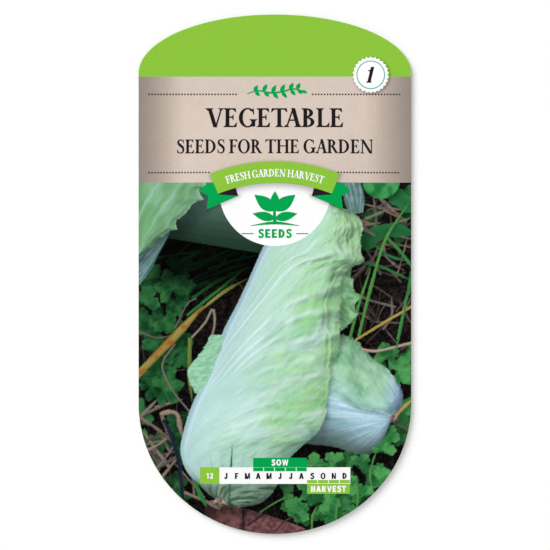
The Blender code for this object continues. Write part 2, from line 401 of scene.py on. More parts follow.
def frill_height(s, t):
    """The ruffled outer leaf at the right of the first head."""
    wave = 0.8 * s * np.sin(t * 30 + s * 4) + 2 * s * (fbm(t * 14, s * 3, 2, 17) - 0.5)
    push = rise(s, 0.6, 0.4) * (1.8 * teeth(t, 7, 8) - 0.4)
    return (push, 0), 1.5 - 2.5 * s + wave


def heads(relief):
    """The leaf behind the first head, its ruffled leaf, and the two heads."""
    side_left = [(-21, -20), (-23.3, -24.5), (-26.5, -28.5), (-28.6, -31.5), (-28, -35.5), (-25.5, -40)]
    side_right = [(-15, -20), (-17, -24), (-19, -29), (-20, -33), (-22, -37), (-24, -41)]
    ruled(relief, "frill", side_left, side_right, 60, 24, side_height, 0.2)
    ruled(relief, "frill", FRILL_LEFT, FRILL_RIGHT, 90, 36, frill_height, 0.8)
    ruled(relief, "second", SECOND_TOP, SECOND_LOW, 170, 170, second_height)
    ruled(relief, "head", HEAD_LEFT, HEAD_RIGHT, 380, 170, head_height)


def side_height(s, t):
    return (-0.8 * fall(s, 0.3, 0.3) * teeth(t, 7, 2), 0), 1 + 2 * s + 0.5 * fbm(s * 3, t * 5, 2, 58)


def stumps(relief):
    """The cut root under each head."""
    turn = np.linspace(0, 2 * math.pi, 30)[None, :]
    out = np.linspace(0, 1, 8)[:, None]
    ripple = 1 + 0.22 * np.sin(turn * 7) * out
    for (x, y), rx, ry, z in ((FIRST_STUMP, 2.9, 1.3, 5.0), (SECOND_STUMP, 1.5, 1.1, 7.5)):
        px = x + rx * out * ripple * np.cos(turn)
        py = y + ry * out * ripple * np.sin(turn)
        relief.add("stump", px, py, z - 1.5 * out**2 + fbm(out * 6, turn * 2, 2, 60), out, turn)


# ---------------------------------------------------------------- the garden bed


# Scattered twigs: how many, then ranges of x, y, turn, reach, height, width and tone,
# then how far the middle strays, how high it arches and how much the far end's height varies.
LITTER = (
    (70, (-45, 45), (-84, 26), (0, math.pi), (3, 12), (-13, -7), (0.22, 0.45), (0, 0.45), 2, 1.5, 1),
    (26, (-44, -27), (-74, -42), (0.2, 2.4), (3, 9), (-8, -4), (0.3, 1.3), (0.1, 0.85), 0, 1, 0),
    (16, (27, 45), (12, 26), (-0.9, 0.5), (3, 8), (-5, -2), (0.3, 1.1), (0, 0.55), 0, 1, 0),
    (36, (26, 45), (-22, 20), (0, math.pi), (4, 11), (-9, -4), (0.25, 0.9), (0, 0.55), 2, 1, 0),
)

# Scattered leaves: how many, then ranges of x, y, size and tone.
LEAF_PATCHES = (
    (14, (-46, -26), (-40, 2), (4.8, 7.0), (0.0, 0.25)),
    (9, (-46, -30), (-80, -44), (4.4, 6.0), (0.0, 0.3)),
    (24, (6, 44), (-82, -60), (3.6, 5.0), (0.1, 0.5)),
    (9, (33, 46), (-60, -28), (4.2, 5.6), (0.2, 0.6)),
    (3, (30, 46), (12, 31), (4.5, 7.0), (0.05, 0.3)),
)

# Leaves with a place of their own: x, y, size, angle, tone and lobes.
LEAVES = (
    (-34, -5, 7.2, 1.9, 0.30, 5), (-36.5, -15.5, 5.2, -0.9, 0.28, 3), (-43, -9, 6.0, 1.2, 0.22, 3),
    (-36.5, -38, 7.0, 0.3, 0.30, 5), (-33, -26, 5.4, 2.4, 0.25, 3), (-40, -25, 5.5, 1.0, 0.2, 3),
    (41, -32, 6.4, 0.2, 0.7, 5), (37, -27, 5.0, 1.9, 0.55, 3), (44, -26, 5.0, -0.6, 0.5, 3),
    (43, -43, 4.4, -1.0, 0.5, 3), (-43.5, -56, 5.5, 1.8, 0.25, 3), (-31, -60, 4.0, 0.4, 0.3, 3),
    (17, -75, 5.2, -0.3, 0.75, 3), (24, -70, 4.6, 0.8, 0.6, 3), (29, -73, 4.8, 2.2, 0.7, 3),
    (34, -67, 4.8, 0.5, 0.7, 3), (13, -63, 4.6, 1.6, 0.6, 3), (20, -62, 4.4, 2.4, 0.7, 3),
    (28, -63, 4.6, 0.9, 0.5, 3), (36, -58, 4.8, 1.4, 0.65, 3), (11, -70, 4.0, 3.0, 0.5, 3),
    (8, -79, 4.4, 0.9, 0.45, 3), (37.5, -53, 4.2, -0.4, 0.6, 3),
)
LOW_LEAVES = (
    (3.2, -71.4, 3.4, 0.4, 0.3, 3), (5.4, -76.2, 4.3, 2.0, 0.42, 3), (14.2, -78.6, 3.8, -0.7, 0.4, 3),
    (8.8, -81.6, 3.3, 1.2, 0.2, 3), (23.5, -77.6, 4.0, 1.5, 0.25, 3), (30.8, -68.4, 4.2, -0.2, 0.4, 3),
    (6.5, -67.2, 3.4, 2.6, 0.15, 3), (17.6, -69.0, 3.6, 1.1, 0.15, 3), (24.2, -61.0, 3.6, 0.2, 0.15, 3),
)

# Blades of grass: width, tone and points.
BLADES = (
    (0.9, 0.55, ((24.6, -21.5, -2), (28, -9, 0), (31.7, 2, -1))),
    (0.95, 0.55, ((27.6, -20.7, -2), (31.5, -5, 0.5), (36.5, 11.3, 0), (45, 24.5, -2))),
    (0.8, 0.5, ((40.6, -21.4, -2), (43, -10, 0), (46, 2, 0))),
    (0.9, 0.4, ((36.8, 12.3, 0), (41, 8, 0), (46, 1.4, -1))),
    (0.55, 0.35, ((44.9, 1, 0.5), (42.5, -14, 1), (38.2, -31.8, -1))),
    (0.7, 0.3, ((29, 4, -3), (36, 2, -2), (45, -2, -3))),
    (0.7, 0.3, ((30, 12, -4), (38, 6, -3), (46, 4, -3))),
    (1.5, 0.75, ((-28, -21, -2), (-28.2, -32, -1.5), (-27.3, -42, -2))),
    (1.3, 0.4, ((-26.5, -68.5, 2), (-25, -72, 2), (-22.5, -77, 1))),
    (2.3, 0.97, ((-46, -34, -2.5), (-40.6, -28.3, -1.5), (-32, -19.5, -1), (-23.5, -10.4, -1))),
    (0.8, 0.85, ((-27, -14, -1.6), (-17, -6, -1.5), (-8.2, -1.0, -2))),
    (0.7, 0.35, ((-29, -13.6, -2.2), (-20, -6.4, -2), (-9, 2.6, -3))),
    (1.0, 0.95, ((39, -48, -3), (42.5, -44, -2), (46, -41, -2))),
)
BROAD_BLADES = (
    (4.4, 0.2, ((29, 8.5, -4), (33, 13.0, -2.5), (38.5, 14.6, -2), (46, 13.4, -3))),
    (5.4, 0.24, ((37, 28, -4), (41, 25, -3), (47, 21, -3))),
)
LEAF_STALKS = (
    ((-4.9, -78.6, -3), (-0.5, -75.8, -2), (4.3, -73.2, -2)),
    ((12.2, -84.4, -4), (12.4, -80, -3), (14.2, -76, -2)),
    ((20.6, -83.6, -4), (20.2, -79, -3), (21.2, -74, -2)),
    ((26.4, -80.2, -4), (27.4, -74, -3), (26.6, -66, -2)),
    ((33, -74, -4), (31.4, -66, -3), (33.6, -58, -2)),
    ((16.8, -71, -3), (18.6, -64, -2), (17.4, -58.6, -2)),
)

# Twigs with a place of their own: width, tone and points. A negative tone is a blue-black stalk.
TWIGS = (
    (0.9, 0.95, ((28.4, -24.7, -1.5), (34, -25.3, -1), (45.5, -22.6, -1))),
    (0.6, 0.6, ((-33, -23, -2), (-37.2, -30, -1.5), (-34, -38, -1.5), (-28, -45.5, -2))),
    (0.8, 0.75, ((-27.5, -21, -1), (-23, -16, 0), (-20.5, -11.5, 0), (-19.8, -16, 0.5), (-20.6, -20, 0))),
    (0.55, 0.4, ((-33, -18, -2), (-29, -10, -1), (-26, -8, -1))),
    (0.45, 0.4, ((-45, -19, -4), (-38, -21, -3), (-30, -18.5, -3))),
    (1.0, 0.45, ((-45, -47, -3), (-39, -51, -1), (-33, -56, -2))),
    (0.9, 0.7, ((-44, -59, -3), (-38, -56, -2), (-34, -52.5, -2))),
    (0.8, 0.5, ((-43, -67, -3), (-38, -63, -2), (-33.5, -57, -2))),
    (1.2, 0.6, ((-30, -72, -2), (-24, -74.5, 0), (-18, -77.5, 0))),
    (1.1, -1.0, ((-37, -48, 0), (-35.2, -51, 1), (-32.5, -59, 1), (-31.2, -67, 0), (-30.2, -75.5, -2))),
)
DRY_LEAF = ((-38, -46.3, -1), (-34.5, -45.4, 0.5), (-32.2, -46.4, 1), (-31.4, -50, 0.5), (-30.4, -54, 0))
DRY_STALK = ((-37.4, -46.6, -1.5), (-36.2, -50, -1), (-34.6, -53.6, -1.5))
STRAW = ((26.5, -21.8, -1), (36, -16, 0), (46, -10.2, 0))
NEAR_BLADE = ((-15.2, -76.5, 13), (-14.6, -66, 15.5), (-14, -55.5, 16))

# Large outer leaves at the top: their edge curves.
SHADE_EDGES = [(-38, 31), (-39, 20), (-37.5, 12.3)], [(2, 31), (2, 20), (-2, 6.5)]
UNDER_EDGES = [(-33.6, 17.5), (-35, 13), (-38, 7.5), (-41, 1.5), (-46, -5)], [
    (-33.8, 17.8), (-36.5, 15), (-39.5, 12), (-46, 8)]
PALE_EDGES = [(-47, 32), (-47, 18), (-46, 5)], [
    (-23, 32), (-23.4, 29.5), (-24.6, 27.5), (-24.8, 24.5), (-27.2, 22.7), (-29, 20), (-31.6, 18.2),
    (-33.6, 14.8), (-37.5, 12.2), (-41, 9), (-45.5, 5.6)]
RIGHT_EDGES = [(22, 31), (23, 24), (25, 19.5)], [(28, 31), (29.5, 25), (29, 20.5)]


def soil(relief):
    x, y = np.meshgrid(np.arange(-47, 47.1, 0.45), np.arange(-88, 32.1, 0.45))
    clods = fbm(x * 0.22, y * 0.22, 4, 40) * 6 + fbm(x * 1.1, y * 1.1, 3, 44) * 1.6
    relief.add("soil", x, y, -19 + clods, x, y)


def scatter_litter(relief):
    for count, xs, ys, turns, reaches, heights, widths, tones, stray, arch, sag in LITTER:
        for _ in range(count):
            x, y = rng.uniform(*xs), rng.uniform(*ys)
            turn, reach = rng.uniform(*turns), rng.uniform(*reaches)
            dx, dy = math.cos(turn) * reach, math.sin(turn) * reach
            stray_x, stray_y = rng.uniform(-stray, stray, 2) if stray else (0, 0)
            z = rng.uniform(*heights)
            end_z = z + (rng.uniform(-sag, sag) if sag else 0)
            middle = (x + stray_x, y + stray_y, z + arch)
            points = [(x - dx, y - dy, z), middle, (x + dx, y + dy, end_z)]
            ribbon(relief, "twig", points, rng.uniform(*widths), rng.uniform(*tones))


def scatter_leaves(relief):
    for count, xs, ys, sizes, tones in LEAF_PATCHES:
        for _ in range(count):
            x, y, z = rng.uniform(*xs), rng.uniform(*ys), rng.uniform(-11, -5)
            size, angle, tone = rng.uniform(*sizes), rng.uniform(0, 2 * math.pi), rng.uniform(*tones)
            lobed_leaf(relief, "ground", x, y, z, size, angle, tone, rng.choice((3, 3, 5)))


def placed_leaves(relief, leaves, z):
    for x, y, size, angle, tone, lobes in leaves:
        lobed_leaf(relief, "ground", x, y, z, size, angle, tone, lobes)


def scatter_grass(relief):
    for _ in range(26):
        x, y, reach, turn = (rng.uniform(*r) for r in ((-42, -6), (-6, 12), (5, 12), (0.1, 0.9)))
        dx, dy = reach * math.cos(turn), reach * math.sin(turn)
        points = [(x - dx, y - dy, -8), (x, y, -6.5), (x + dx, y + 0.6 * dy, -6)]
        ribbon(relief, "blade", points, rng.uniform(0.5, 1.1), rng.uniform(0, 0.16))


def placed_stems(relief):
    for width, tone, points in BLADES:
        ribbon(relief, "blade", points, width, tone)
    for width, tone, points in BROAD_BLADES:
        ribbon(relief, "blade", points, width, tone, crease=0.1)
    ribbon(relief, "blade", STRAW, 0.8, 0.94, taper=False)
    for width, tone, points in TWIGS:
        ribbon(relief, "twig", points, width, tone, crease=0.5, taper=False)
    ribbon(relief, "twig", DRY_LEAF, 1.5, 0.72, crease=0.3)
    ribbon(relief, "twig", DRY_STALK, 1.2, 0.5)


# The brick at the foot: where its left end is, how long and how high it is, and its joint.
BRICK_X = -23.0
BRICK_LENGTH = 33.0
BRICK_TOP = -75.2
BRICK_JOINT = 0.38


def brick(relief):
    s = np.linspace(0, 1, 40)[None, :]
    t = np.linspace(0, 1, 16)[:, None]
    y = (BRICK_TOP - 8.8 * s**1.5) * (1 - t) - 90 * t
    z = -3.5 + 0.6 * fbm(s * 20, t * 8, 3, 3) - 2 * near(s - BRICK_JOINT, 0.02)
    relief.add("brick", BRICK_X + BRICK_LENGTH * s + 0 * t, y, z, s, t)


def plain_leaf(level, slope_s, slope_t, waves, scale_s, scale_t, octaves, seed):
    """Height of a smooth leaf: a tilted plane with a few waves."""
    def height(s, t):
        wave = fbm(s * scale_s, t * scale_t, octaves, seed)
        return (0, 0), level + slope_s * s + slope_t * t + waves * wave
    return height


def shade_height(s, t):
    return (0, 0), -1 - 3 * t**3 + 0.4 * fbm(t * 12, s * 2, 3, 50)


def pale_height(s, t):
    push = rise(s, 0.8, 0.2) * (3.4 * teeth(t, 7, 3) - 0.6)
    return (push, 0), 6 + 3 * np.sin(np.pi * s) + 0.8 * fbm(s * 4 + t * 2, t * 1.2, 3, 54)


def outer_leaves(relief):
    """The large leaves at the top, behind the heads."""
    ruled(relief, "shade", *SHADE_EDGES, 30, 60, shade_height)
    ruled(relief, "under", *UNDER_EDGES, 60, 24, plain_leaf(3, 2, 0, 0.6, 12, 3, 3, 52))
    ruled(relief, "pale", *PALE_EDGES, 130, 60, pale_height)
    ruled(relief, "under", *RIGHT_EDGES, 30, 16, plain_leaf(-3, 0, 0, 2, 6, 5, 3, 56), 0.7)


def compose():
    """The whole garden bed. The order matters: scattered pieces draw from one random source."""
    relief = Relief()
    soil(relief)
    scatter_litter(relief)
    scatter_leaves(relief)
    placed_leaves(relief, LEAVES, -4)
    lobed_leaf(relief, "round", 35, 32, -1.5, 7.6, -1.55, 0.6, 1)
    scatter_grass(relief)
    placed_stems(relief)
    brick(relief)
    outer_leaves(relief)
    heads(relief)
    stumps(relief)
    ribbon(relief, "blade", NEAR_BLADE, 0.5, 0.25)
    placed_leaves(relief, LOW_LEAVES, -5.6)
    for points in LEAF_STALKS:
        ribbon(relief, "blade", points, 0.55, 0.55)
    relief.build()
    return relief


# ---------------------------------------------------------------- the picture's colours


# Each kind of surface has a function from its place s, t, its x, y on the packet and its tone
# to linear light. Colours as they print are sRGB 0 to 255.


def head_skin(s, t, x, y, flow, cells):
    """The outer leaf: blue-green at the left and greener to the right, streaked along its ribs."""
    calm = 0.15 + 0.85 * ramp(s / 0.45)
    fine = 0.5 + calm * (fbm(flow * 130, s * 8, 3, 72) - 0.5)
    streaks = 0.5 + calm * (fbm(flow * 38, s * 3, 3, 75) - 0.5)
    patch = fbm(x * 0.10, y * 0.10, 3, 73)
    green = ramp((s - 0.12 + 0.6 * (patch - 0.5)) / 0.85)
    colour = between((182, 218, 208), (164, 214, 160), np.clip(0.05 + 0.95 * green, 0, 1))
    colour = tint(colour, (206, 234, 220), 0.5 * rise(streaks, 0.45, 0.2))
    colour = tint(colour, (196, 226, 174), 0.45 * rise(cells, 0.5, 0.2) * green)
    colour = tint(colour, (184, 214, 226), 0.45 * fall(s, 0.30, 0.30) * rise(fine, 0.35, 0.3))
    shadow = fall(fbm(flow * 36, s * 4, 2, 76), 0.50, 0.12)
    zone = rise(s, 0.48, 0.25) * fall(s, lip_place(t) + 0.03, 0.06) * rise(t, 0.15, 0.2)
    colour = tint(colour, (126, 204, 104), (0.3 + 0.2 * rise(t, 0.4, 0.2)) * shadow * zone)
    return colour * (0.90 + 0.20 * fine)[..., None] * (0.94 + 0.12 * cells)[..., None]


def head_veins(colour, s, t, flow):
    veins = rib_lines(flow, s, 0.0062 - 0.0026 * s) * fall(s, lip_place(t) + 0.02, 0.15) * ramp(s / 0.05)
    broken = rise(fbm(s * 7, flow * 50, 2, 78), 0.2, 0.4)
    return tint(colour, (222, 242, 244), 0.95 * veins * broken)


def head_lip(colour, s, t, cells):
    """The rolled edge, its painted highlight, a painted shadow in its groove, and what lies beyond."""
    lip = lip_place(t)
    up = rise(t, 0.3, 0.2)
    colour = tint(colour, (146, 204, 132), 0.5 * rise(s, lip + 0.015, 0.02) * rise(t, 0.2, 0.2))
    lower_leaf = rise(s, 0.90 - 0.05 * np.sin(t * 60), 0.03) * fall(t, 0.34, 0.04)
    colour = tint(colour, (118, 158, 146), 0.6 * lower_leaf)
    # Painted highlight: a pale line along the rolled edge.
    colour = tint(colour, (204, 236, 190), 0.4 * near(s - lip, 0.008) * up)
    # Painted shadow: dark green in the groove just inside the rolled edge.
    furrow_shadow = near(s - lip + 0.022, 0.012) * up * rise(cells, 0.35, 0.2)
    return tint(colour, (112, 182, 96), 0.65 * furrow_shadow)


def head_left_edge(colour, s, t):
    """A blue margin, darkened as painted shade along the edge, with a bright line inside it."""
    margin = 0.024 + 0.020 * t
    # Painted shade: a darker blue-grey band along the left edge, over the leaf's blue tone.
    blue = ramp((margin - s) / 0.02 + 0.5) * rise(t, 0.12, 0.2)
    colour = tint(colour, (150, 180, 194), 0.65 * blue)
    return tint(colour, (200, 224, 236), 0.75 * near(s - margin - 0.016, 0.010) * rise(t, 0.1, 0.2))


def head_foot(colour, s, t, y, flow):
    """Painted shade over the foot of the head, broken into dark strips, and the whole head's final tint."""
    # Painted shade: the head darkens towards its foot, in strips along its ribs.
    foot_shade = np.maximum(0.85 * fall(t, 0.12, 0.10), fall(y, -67, 4))
    strips = fbm(flow * 160, s * 3, 3, 77)
    dark = between((70, 98, 78), (138, 166, 140), rise(strips, 0.3, 0.4))
    return mix(colour, dark, foot_shade) * np.array([0.955, 0.94, 0.965])


def colour_head(s, t, x, y, tone):
    flow = rib_flow(s, t)
    cells = fbm(flow * 60, s * 13, 3, 74)
    colour = head_veins(head_skin(s, t, x, y, flow, cells), s, t, flow)
    colour = head_lip(colour, s, t, cells)
    colour = tint(colour, (158, 204, 184), 0.4 * fall(t, 0.36, 0.2) * rise(s, 0.3, 0.3))
    colour = tint(colour, (172, 214, 138), 0.45 * rise(s, 0.45, 0.3) * rise(t, 0.72, 0.16))
    colour = head_left_edge(colour, s, t)
    reach, turn = np.hypot(x + 18, y + 76), np.arctan2(y + 76, x + 18)
    rays = fall(fbm(turn * 14, reach * 0.05, 3, 83), 0.5, 0.15) * fall(reach, 20, 12)
    colour = tint(colour, (132, 166, 158), 0.55 * rays)
    colour = tint(colour, (184, 228, 186), 0.4 * rise(t, 0.5, 0.3) * rise(s, 0.06, 0.1))
    return head_foot(colour, s, t, y, flow)


def colour_second(s, t, x, y, tone):
    """A green outer leaf over white ribs fanning out from the stump, with painted shade at the lower edge.
    """
    reach = np.hypot(x - SECOND_STUMP[0], y - SECOND_STUMP[1])
    turn = np.arctan2(y - SECOND_STUMP[1], SECOND_STUMP[0] - x)
    fine = fbm(turn * 24, reach * 0.07, 3, 80)
    broad = fbm(turn * 9, reach * 0.05, 3, 79)
    border = second_border(t)
    leaf = between((134, 188, 146), (170, 212, 178), rise(fbm(x * 0.22, y * 0.22, 3, 81), 0.3, 0.4))
    leaf = tint(leaf, (164, 204, 204), 0.6 * rise(s, border - 0.25, 0.25))
    leaf = tint(leaf, (170, 200, 224), rise(t, 0.60, 0.2) * fall(s, 0.6, 0.4))
    leaf = leaf * (0.88 + 0.24 * fbm(s * 22, t * 12, 3, 82))[..., None]
    ribs = between((160, 200, 214), (208, 234, 246), rise(fine, 0.25, 0.5))
    ribs = tint(ribs, (130, 168, 172), 0.5 * fall(broad, 0.50, 0.2))
    # Painted shade: the ribs darken towards the head's lower edge.
    ribs = tint(ribs, (88, 112, 100), 0.95 * rise(s, 0.62, 0.40))
    ribs = tint(ribs, (150, 190, 168), 0.6 * fall(t, 0.42, 0.42))
    return mix(leaf, ribs, ramp((s - border) / 0.07 + 0.5))


def colour_frill(s, t, x, y, tone):
    fine = rise(fbm(t * 40 + s * 6, s * 6, 3, 84), 0.25, 0.5)
    warm = between((122, 180, 118), (158, 208, 150), fine)
    cool = between((126, 178, 150), (156, 204, 176), fine)
    return mix(cool, warm, tone)


def colour_pale(s, t, x, y, tone):
    veins = 0.0
    for k in range(3):
        line = s + 0.5 * t - 0.40 - 0.33 * k + 0.03 * np.sin(t * 5 + k)
        veins = np.maximum(veins, near(line, 0.028) * (0.9 - 0.25 * k))
    fine = rise(fbm(s * 14 + t * 5, t * 2.5, 3, 86), 0.25, 0.5)
    colour = between((114, 160, 116), (136, 182, 142), fine)
    colour = tint(colour, (98, 150, 96), 0.5 * rise(fbm(x * 0.15, y * 0.15, 2, 87), 0.45, 0.2))
    colour = tint(colour, (90, 148, 86), 0.6 * fall(s, 0.38, 0.3))
    colour = tint(colour, (160, 200, 184), 0.6 * veins)
    return tint(colour, (176, 208, 180), 0.6 * rise(s, 0.95, 0.05))


def colour_under(s, t, x, y, tone):
    fine = rise(fbm(s * 26, t * 3, 3, 88), 0.3, 0.4)
    return between((70, 104, 100), (126, 156, 152), fine) * (0.8 + 0.5 * tone)[..., None]


def colour_shade(s, t, x, y, tone):
    fine = fbm(t * 16, s * 1.5, 3, 90)
    return between((84, 112, 100), (36, 60, 46), rise(t, 0.1, 0.9)) * (0.82 + 0.36 * fine)[..., None]


def colour_ground(s, t, x, y, tone):
    low = between((14, 64, 34), (44, 124, 62), tone)
    high = between((50, 118, 66), (108, 186, 104), tone)
    far = np.hypot(s, t)
    off = (np.arctan2(t, s) + 0.75) % 1.5 - 0.75
    rib = near(off * far, 0.022)
    side_ribs = np.abs(np.sin((far * 1.2 - np.abs(off) * 0.8) * 15)) ** 8
    patch = fbm(x * 0.35, y * 0.35, 3, 92)
    colour = mix(low, high, 0.55 * rise(patch, 0.3, 0.4) + 0.3 * rise(far, 0.45, 0.5))
    return mix(colour, high * 1.3, np.clip(0.35 * rib + 0.10 * side_ribs, 0, 1))


def colour_round(s, t, x, y, tone):
    return between((34, 112, 58), (66, 152, 84), rise(fbm(x * 0.5, y * 0.5, 3, 104), 0.3, 0.4))


# Blades of grass by tone, from dark green to straw.
BLADE_STOPS = ((12, 46, 28), (42, 110, 60), (70, 146, 70), (120, 138, 66), (182, 150, 82))
RUSTY_FROM = 0.95


def colour_blade(s, t, x, y, tone):
    stops = np.array([linear(c) for c in BLADE_STOPS])
    place = np.clip(tone, 0, 1) * (len(stops) - 1)
    k = np.minimum(place.astype(int), len(stops) - 2)
    colour = mix(stops[k], stops[k + 1], place - k)
    rust = rise(fbm(t * 14, s * 1.1, 3, 94), 0.46, 0.12) * (tone > RUSTY_FROM)
    colour = tint(colour, (186, 98, 36), 0.85 * rust)
    colour = tint(colour, (96, 128, 52), 0.7 * (tone > RUSTY_FROM) * rise(np.abs(s), 0.45, 0.3))
    return colour * (0.85 + 0.3 * np.abs(s))[..., None]


def colour_twig(s, t, x, y, tone):
    fine = fbm(t * 30, s * 3, 3, 96)
    hue = fbm(x * 0.3, y * 0.3, 2, 97)
    warm = between((46, 36, 38), (176, 162, 150), np.clip(tone, 0, 1))
    warm = mix(warm, warm * np.array([1.08, 0.95, 0.82]), rise(hue, 0.45, 0.2))
    warm = np.where((tone < -0.5)[..., None], linear((32, 42, 66)), warm)
    return warm * (0.6 + 0.8 * fine)[..., None] * (0.75 + 0.35 * (1 - s * s))[..., None]


def colour_soil(s, t, x, y, tone):
    return between((14, 12, 13), (58, 47, 44), rise(fbm(x * 1.4, y * 1.4, 4, 98), 0.35, 0.5))


# Cracks across the brick, from end to end.
CRACKS = (((-9.0, -83.0), (-2.6, -78.4)), ((0.2, -84.8), (3.6, -80.9)))


def colour_brick(s, t, x, y, tone):
    colour = between((84, 54, 56), (126, 84, 82), rise(fbm(x * 0.8, y * 0.8, 4, 100), 0.3, 0.4))
    colour = colour * (0.45 + 0.55 * ramp(s / 0.35))[..., None]
    joint = near(s - BRICK_JOINT, 0.014)
    for (x0, y0), (x1, y1) in CRACKS:
        away = y - y0 - (y1 - y0) / (x1 - x0) * (x - x0)
        joint = np.maximum(joint, near(away, 0.4) * (x > x0) * (x < x1))
    return tint(colour, (30, 24, 26), 0.9 * joint)


def colour_stump(s, t, x, y, tone):
    return between((104, 84, 72), (190, 174, 154), rise(fbm(x * 1.8, y * 1.8, 3, 102), 0.3, 0.4))


PAINT = {
    "soil": colour_soil, "ground": colour_ground, "blade": colour_blade, "twig": colour_twig,
    "head": colour_head, "second": colour_second, "pale": colour_pale, "under": colour_under,
    "shade": colour_shade, "brick": colour_brick, "stump": colour_stump, "frill": colour_frill,
    "round": colour_round,
}
KINDS = list(PAINT)
ON_THE_GROUND = [KINDS.index(name) for name in ("soil", "ground", "blade", "twig")]


# ---------------------------------------------------------------- looking at the picture


SUN = Vector((-0.32, 0.42, 0.84)).normalized()
SUN_BLUR = 0.14
SUN_LIGHT = 0.50 * np.array([1.04, 1.0, 0.95])
SKY_LIGHT = 0.62 * np.array([0.92, 1.0, 1.08])
BASE_LIGHT = 0.05
DOWN = Vector((0, 0, -1))
LOOK_FROM = 60.0
FLOOR_Z = -20.0
OFF_SURFACE = 0.08
PASSES = 4
PIXEL_BLUR = 0.11


def look_down(tree, x, y, jitter):
    """Face hit, height, sun and open sky for each place."""
    face = np.zeros(len(x), int)
    z = np.full(len(x), FLOOR_Z)
    sunny = np.zeros(len(x))
    sky = np.zeros(len(x))
    for i, (a, b) in enumerate(zip(x.tolist(), y.tolist())):
        hit, _, index, _ = tree.ray_cast((a, b, LOOK_FROM), DOWN)
        if hit is None:
            continue
        face[i] = index
        z[i] = hit.z
        hit.z += OFF_SURFACE
        j = jitter[i]
        towards = (SUN.x + SUN_BLUR * j[0, 0], SUN.y + SUN_BLUR * j[0, 1], SUN.z)
        sunny[i] = tree.ray_cast(hit, towards, 45)[0] is None
        for m in (1, 2):
            n = math.sqrt(j[m, 0] ** 2 + j[m, 1] ** 2 + j[m, 2] ** 2)
            upwards = (j[m, 0] / n, j[m, 1] / n, 1.02 + j[m, 2] / n)
            sky[i] += 0.5 * (tree.ray_cast(hit, upwards, 40)[0] is None)
    return face, z, sunny, sky


def soften(values, kind, z, reach=2):
    """Averages light over near neighbours of one kind and about one height."""
    total, weight = np.zeros_like(values), np.zeros_like(values)
    pad = ((reach, reach), (reach, reach))
    wide = [np.pad(v, pad, mode="edge") for v in (values, kind, z)]
    rows, columns = values.shape
    for i in range(2 * reach + 1):
        for j in range(2 * reach + 1):
            v, k, h = (w[i : i + rows, j : j + columns] for w in wide)
            alike = (k == kind) & (np.abs(h - z) < 1.5)
            total += v * alike
            weight += alike
    return total / weight


def on_faces(relief, face, x, y):
    """The place on its leaf and the smooth normal of each looked-at point."""
    corners = relief.faces[face]
    p = relief.points[corners]
    e1, e2 = p[:, 1] - p[:, 0], p[:, 2] - p[:, 0]
    d = np.column_stack([x, y]) - p[:, 0, :2]
    area = e1[:, 0] * e2[:, 1] - e1[:, 1] * e2[:, 0]
    area = np.where(np.abs(area) < 1e-12, 1e-12, area)
    v = (d[:, 0] * e2[:, 1] - d[:, 1] * e2[:, 0]) / area
    w = (e1[:, 0] * d[:, 1] - e1[:, 1] * d[:, 0]) / area
    weights = np.column_stack([1 - v - w, v, w])[:, :, None]
    normal = (relief.normals[corners] * weights).sum(axis=1)
    normal /= np.maximum(np.linalg.norm(normal, axis=1, keepdims=True), 1e-9)
    return (relief.places[corners] * weights).sum(axis=1), normal


def ground_shade(kind, x, y):
    """Light left on the ground: little in the hollow behind the head, and less at the left."""
    low = np.isin(kind, ON_THE_GROUND)
    hollow = rise(x, -42, 6) * fall(x, 4, 6) * rise(y, -8, 8) * fall(y, 14, 3)
    return 1 - low * (0.88 * hollow + 0.2 * fall(x, -8, 8) * (1 - hollow))


def shade(relief, face, x, y, sunny, sky):
    """The light that comes from each looked-at point."""
    place, normal = on_faces(relief, face, x, y)
    kind = relief.tags[face, 0].astype(int)
    tone = relief.tags[face, 1]
    albedo = np.zeros((len(x), 3))
    for k, name in enumerate(KINDS):
        here = kind == k
        if here.any():
            albedo[here] = PAINT[name](place[here, 0], place[here, 1], x[here], y[here], tone[here])
    facing = np.clip(normal @ np.array(SUN), 0, 1)
    up = 0.5 + 0.5 * normal[:, 2]
    light = (sky * up)[:, None] * SKY_LIGHT + (sunny * facing)[:, None] * SUN_LIGHT + BASE_LIGHT
    return albedo * light * ground_shade(kind, x, y)[:, None]


def trace(relief, x, y):
    """The picture's colour on a grid of places, averaged over a few jittered looks straight down."""
    local = np.random.default_rng(5)
    total = np.zeros((*x.shape, 3))
    for _ in range(PASSES):
        px = x + local.uniform(-PIXEL_BLUR, PIXEL_BLUR, x.shape)
        py = y + local.uniform(-PIXEL_BLUR, PIXEL_BLUR, x.shape)
        jitter = local.normal(0, 1, (x.size, 3, 3))
        found = look_down(relief.tree, px.ravel(), py.ravel(), jitter)
        face, z, sunny, sky = (v.reshape(x.shape) for v in found)
        kind = relief.tags[face, 0]
        sunny, sky = soften(sunny, kind, z), soften(sky, kind, z)
        lit = shade(relief, face.ravel(), px.ravel(), py.ravel(), sunny.ravel(), sky.ravel())
        total += lit.reshape(total.shape)
    return total / PASSES


# ---------------------------------------------------------------- the packet's shape


def half_width(y, inset=0.0):
    """Half the packet's width at a height y."""
    y = np.asarray(y, float)
    head = (y - HEAD_START) / (HEAD_RISE - inset)
    foot = (FOOT_START - y) / (FOOT_RISE - inset)
    t = np.clip(np.maximum(head, foot), 0.0, 1.0)
    return (WIDTH / 2 - inset) * np.sqrt(1 - t * t)


def swell(x, y):
    """0 on the glued rim and 1 over the middle of the contents."""
    side = fall(np.abs(x), half_width(y, RIM_GLUE_WIDTH), SIDE_SHOULDER)
    foot = rise(y, SWELL_LOW_Y, END_SHOULDER)
    head = fall(y, SWELL_HIGH_Y, END_SHOULDER)
    return side * foot * head


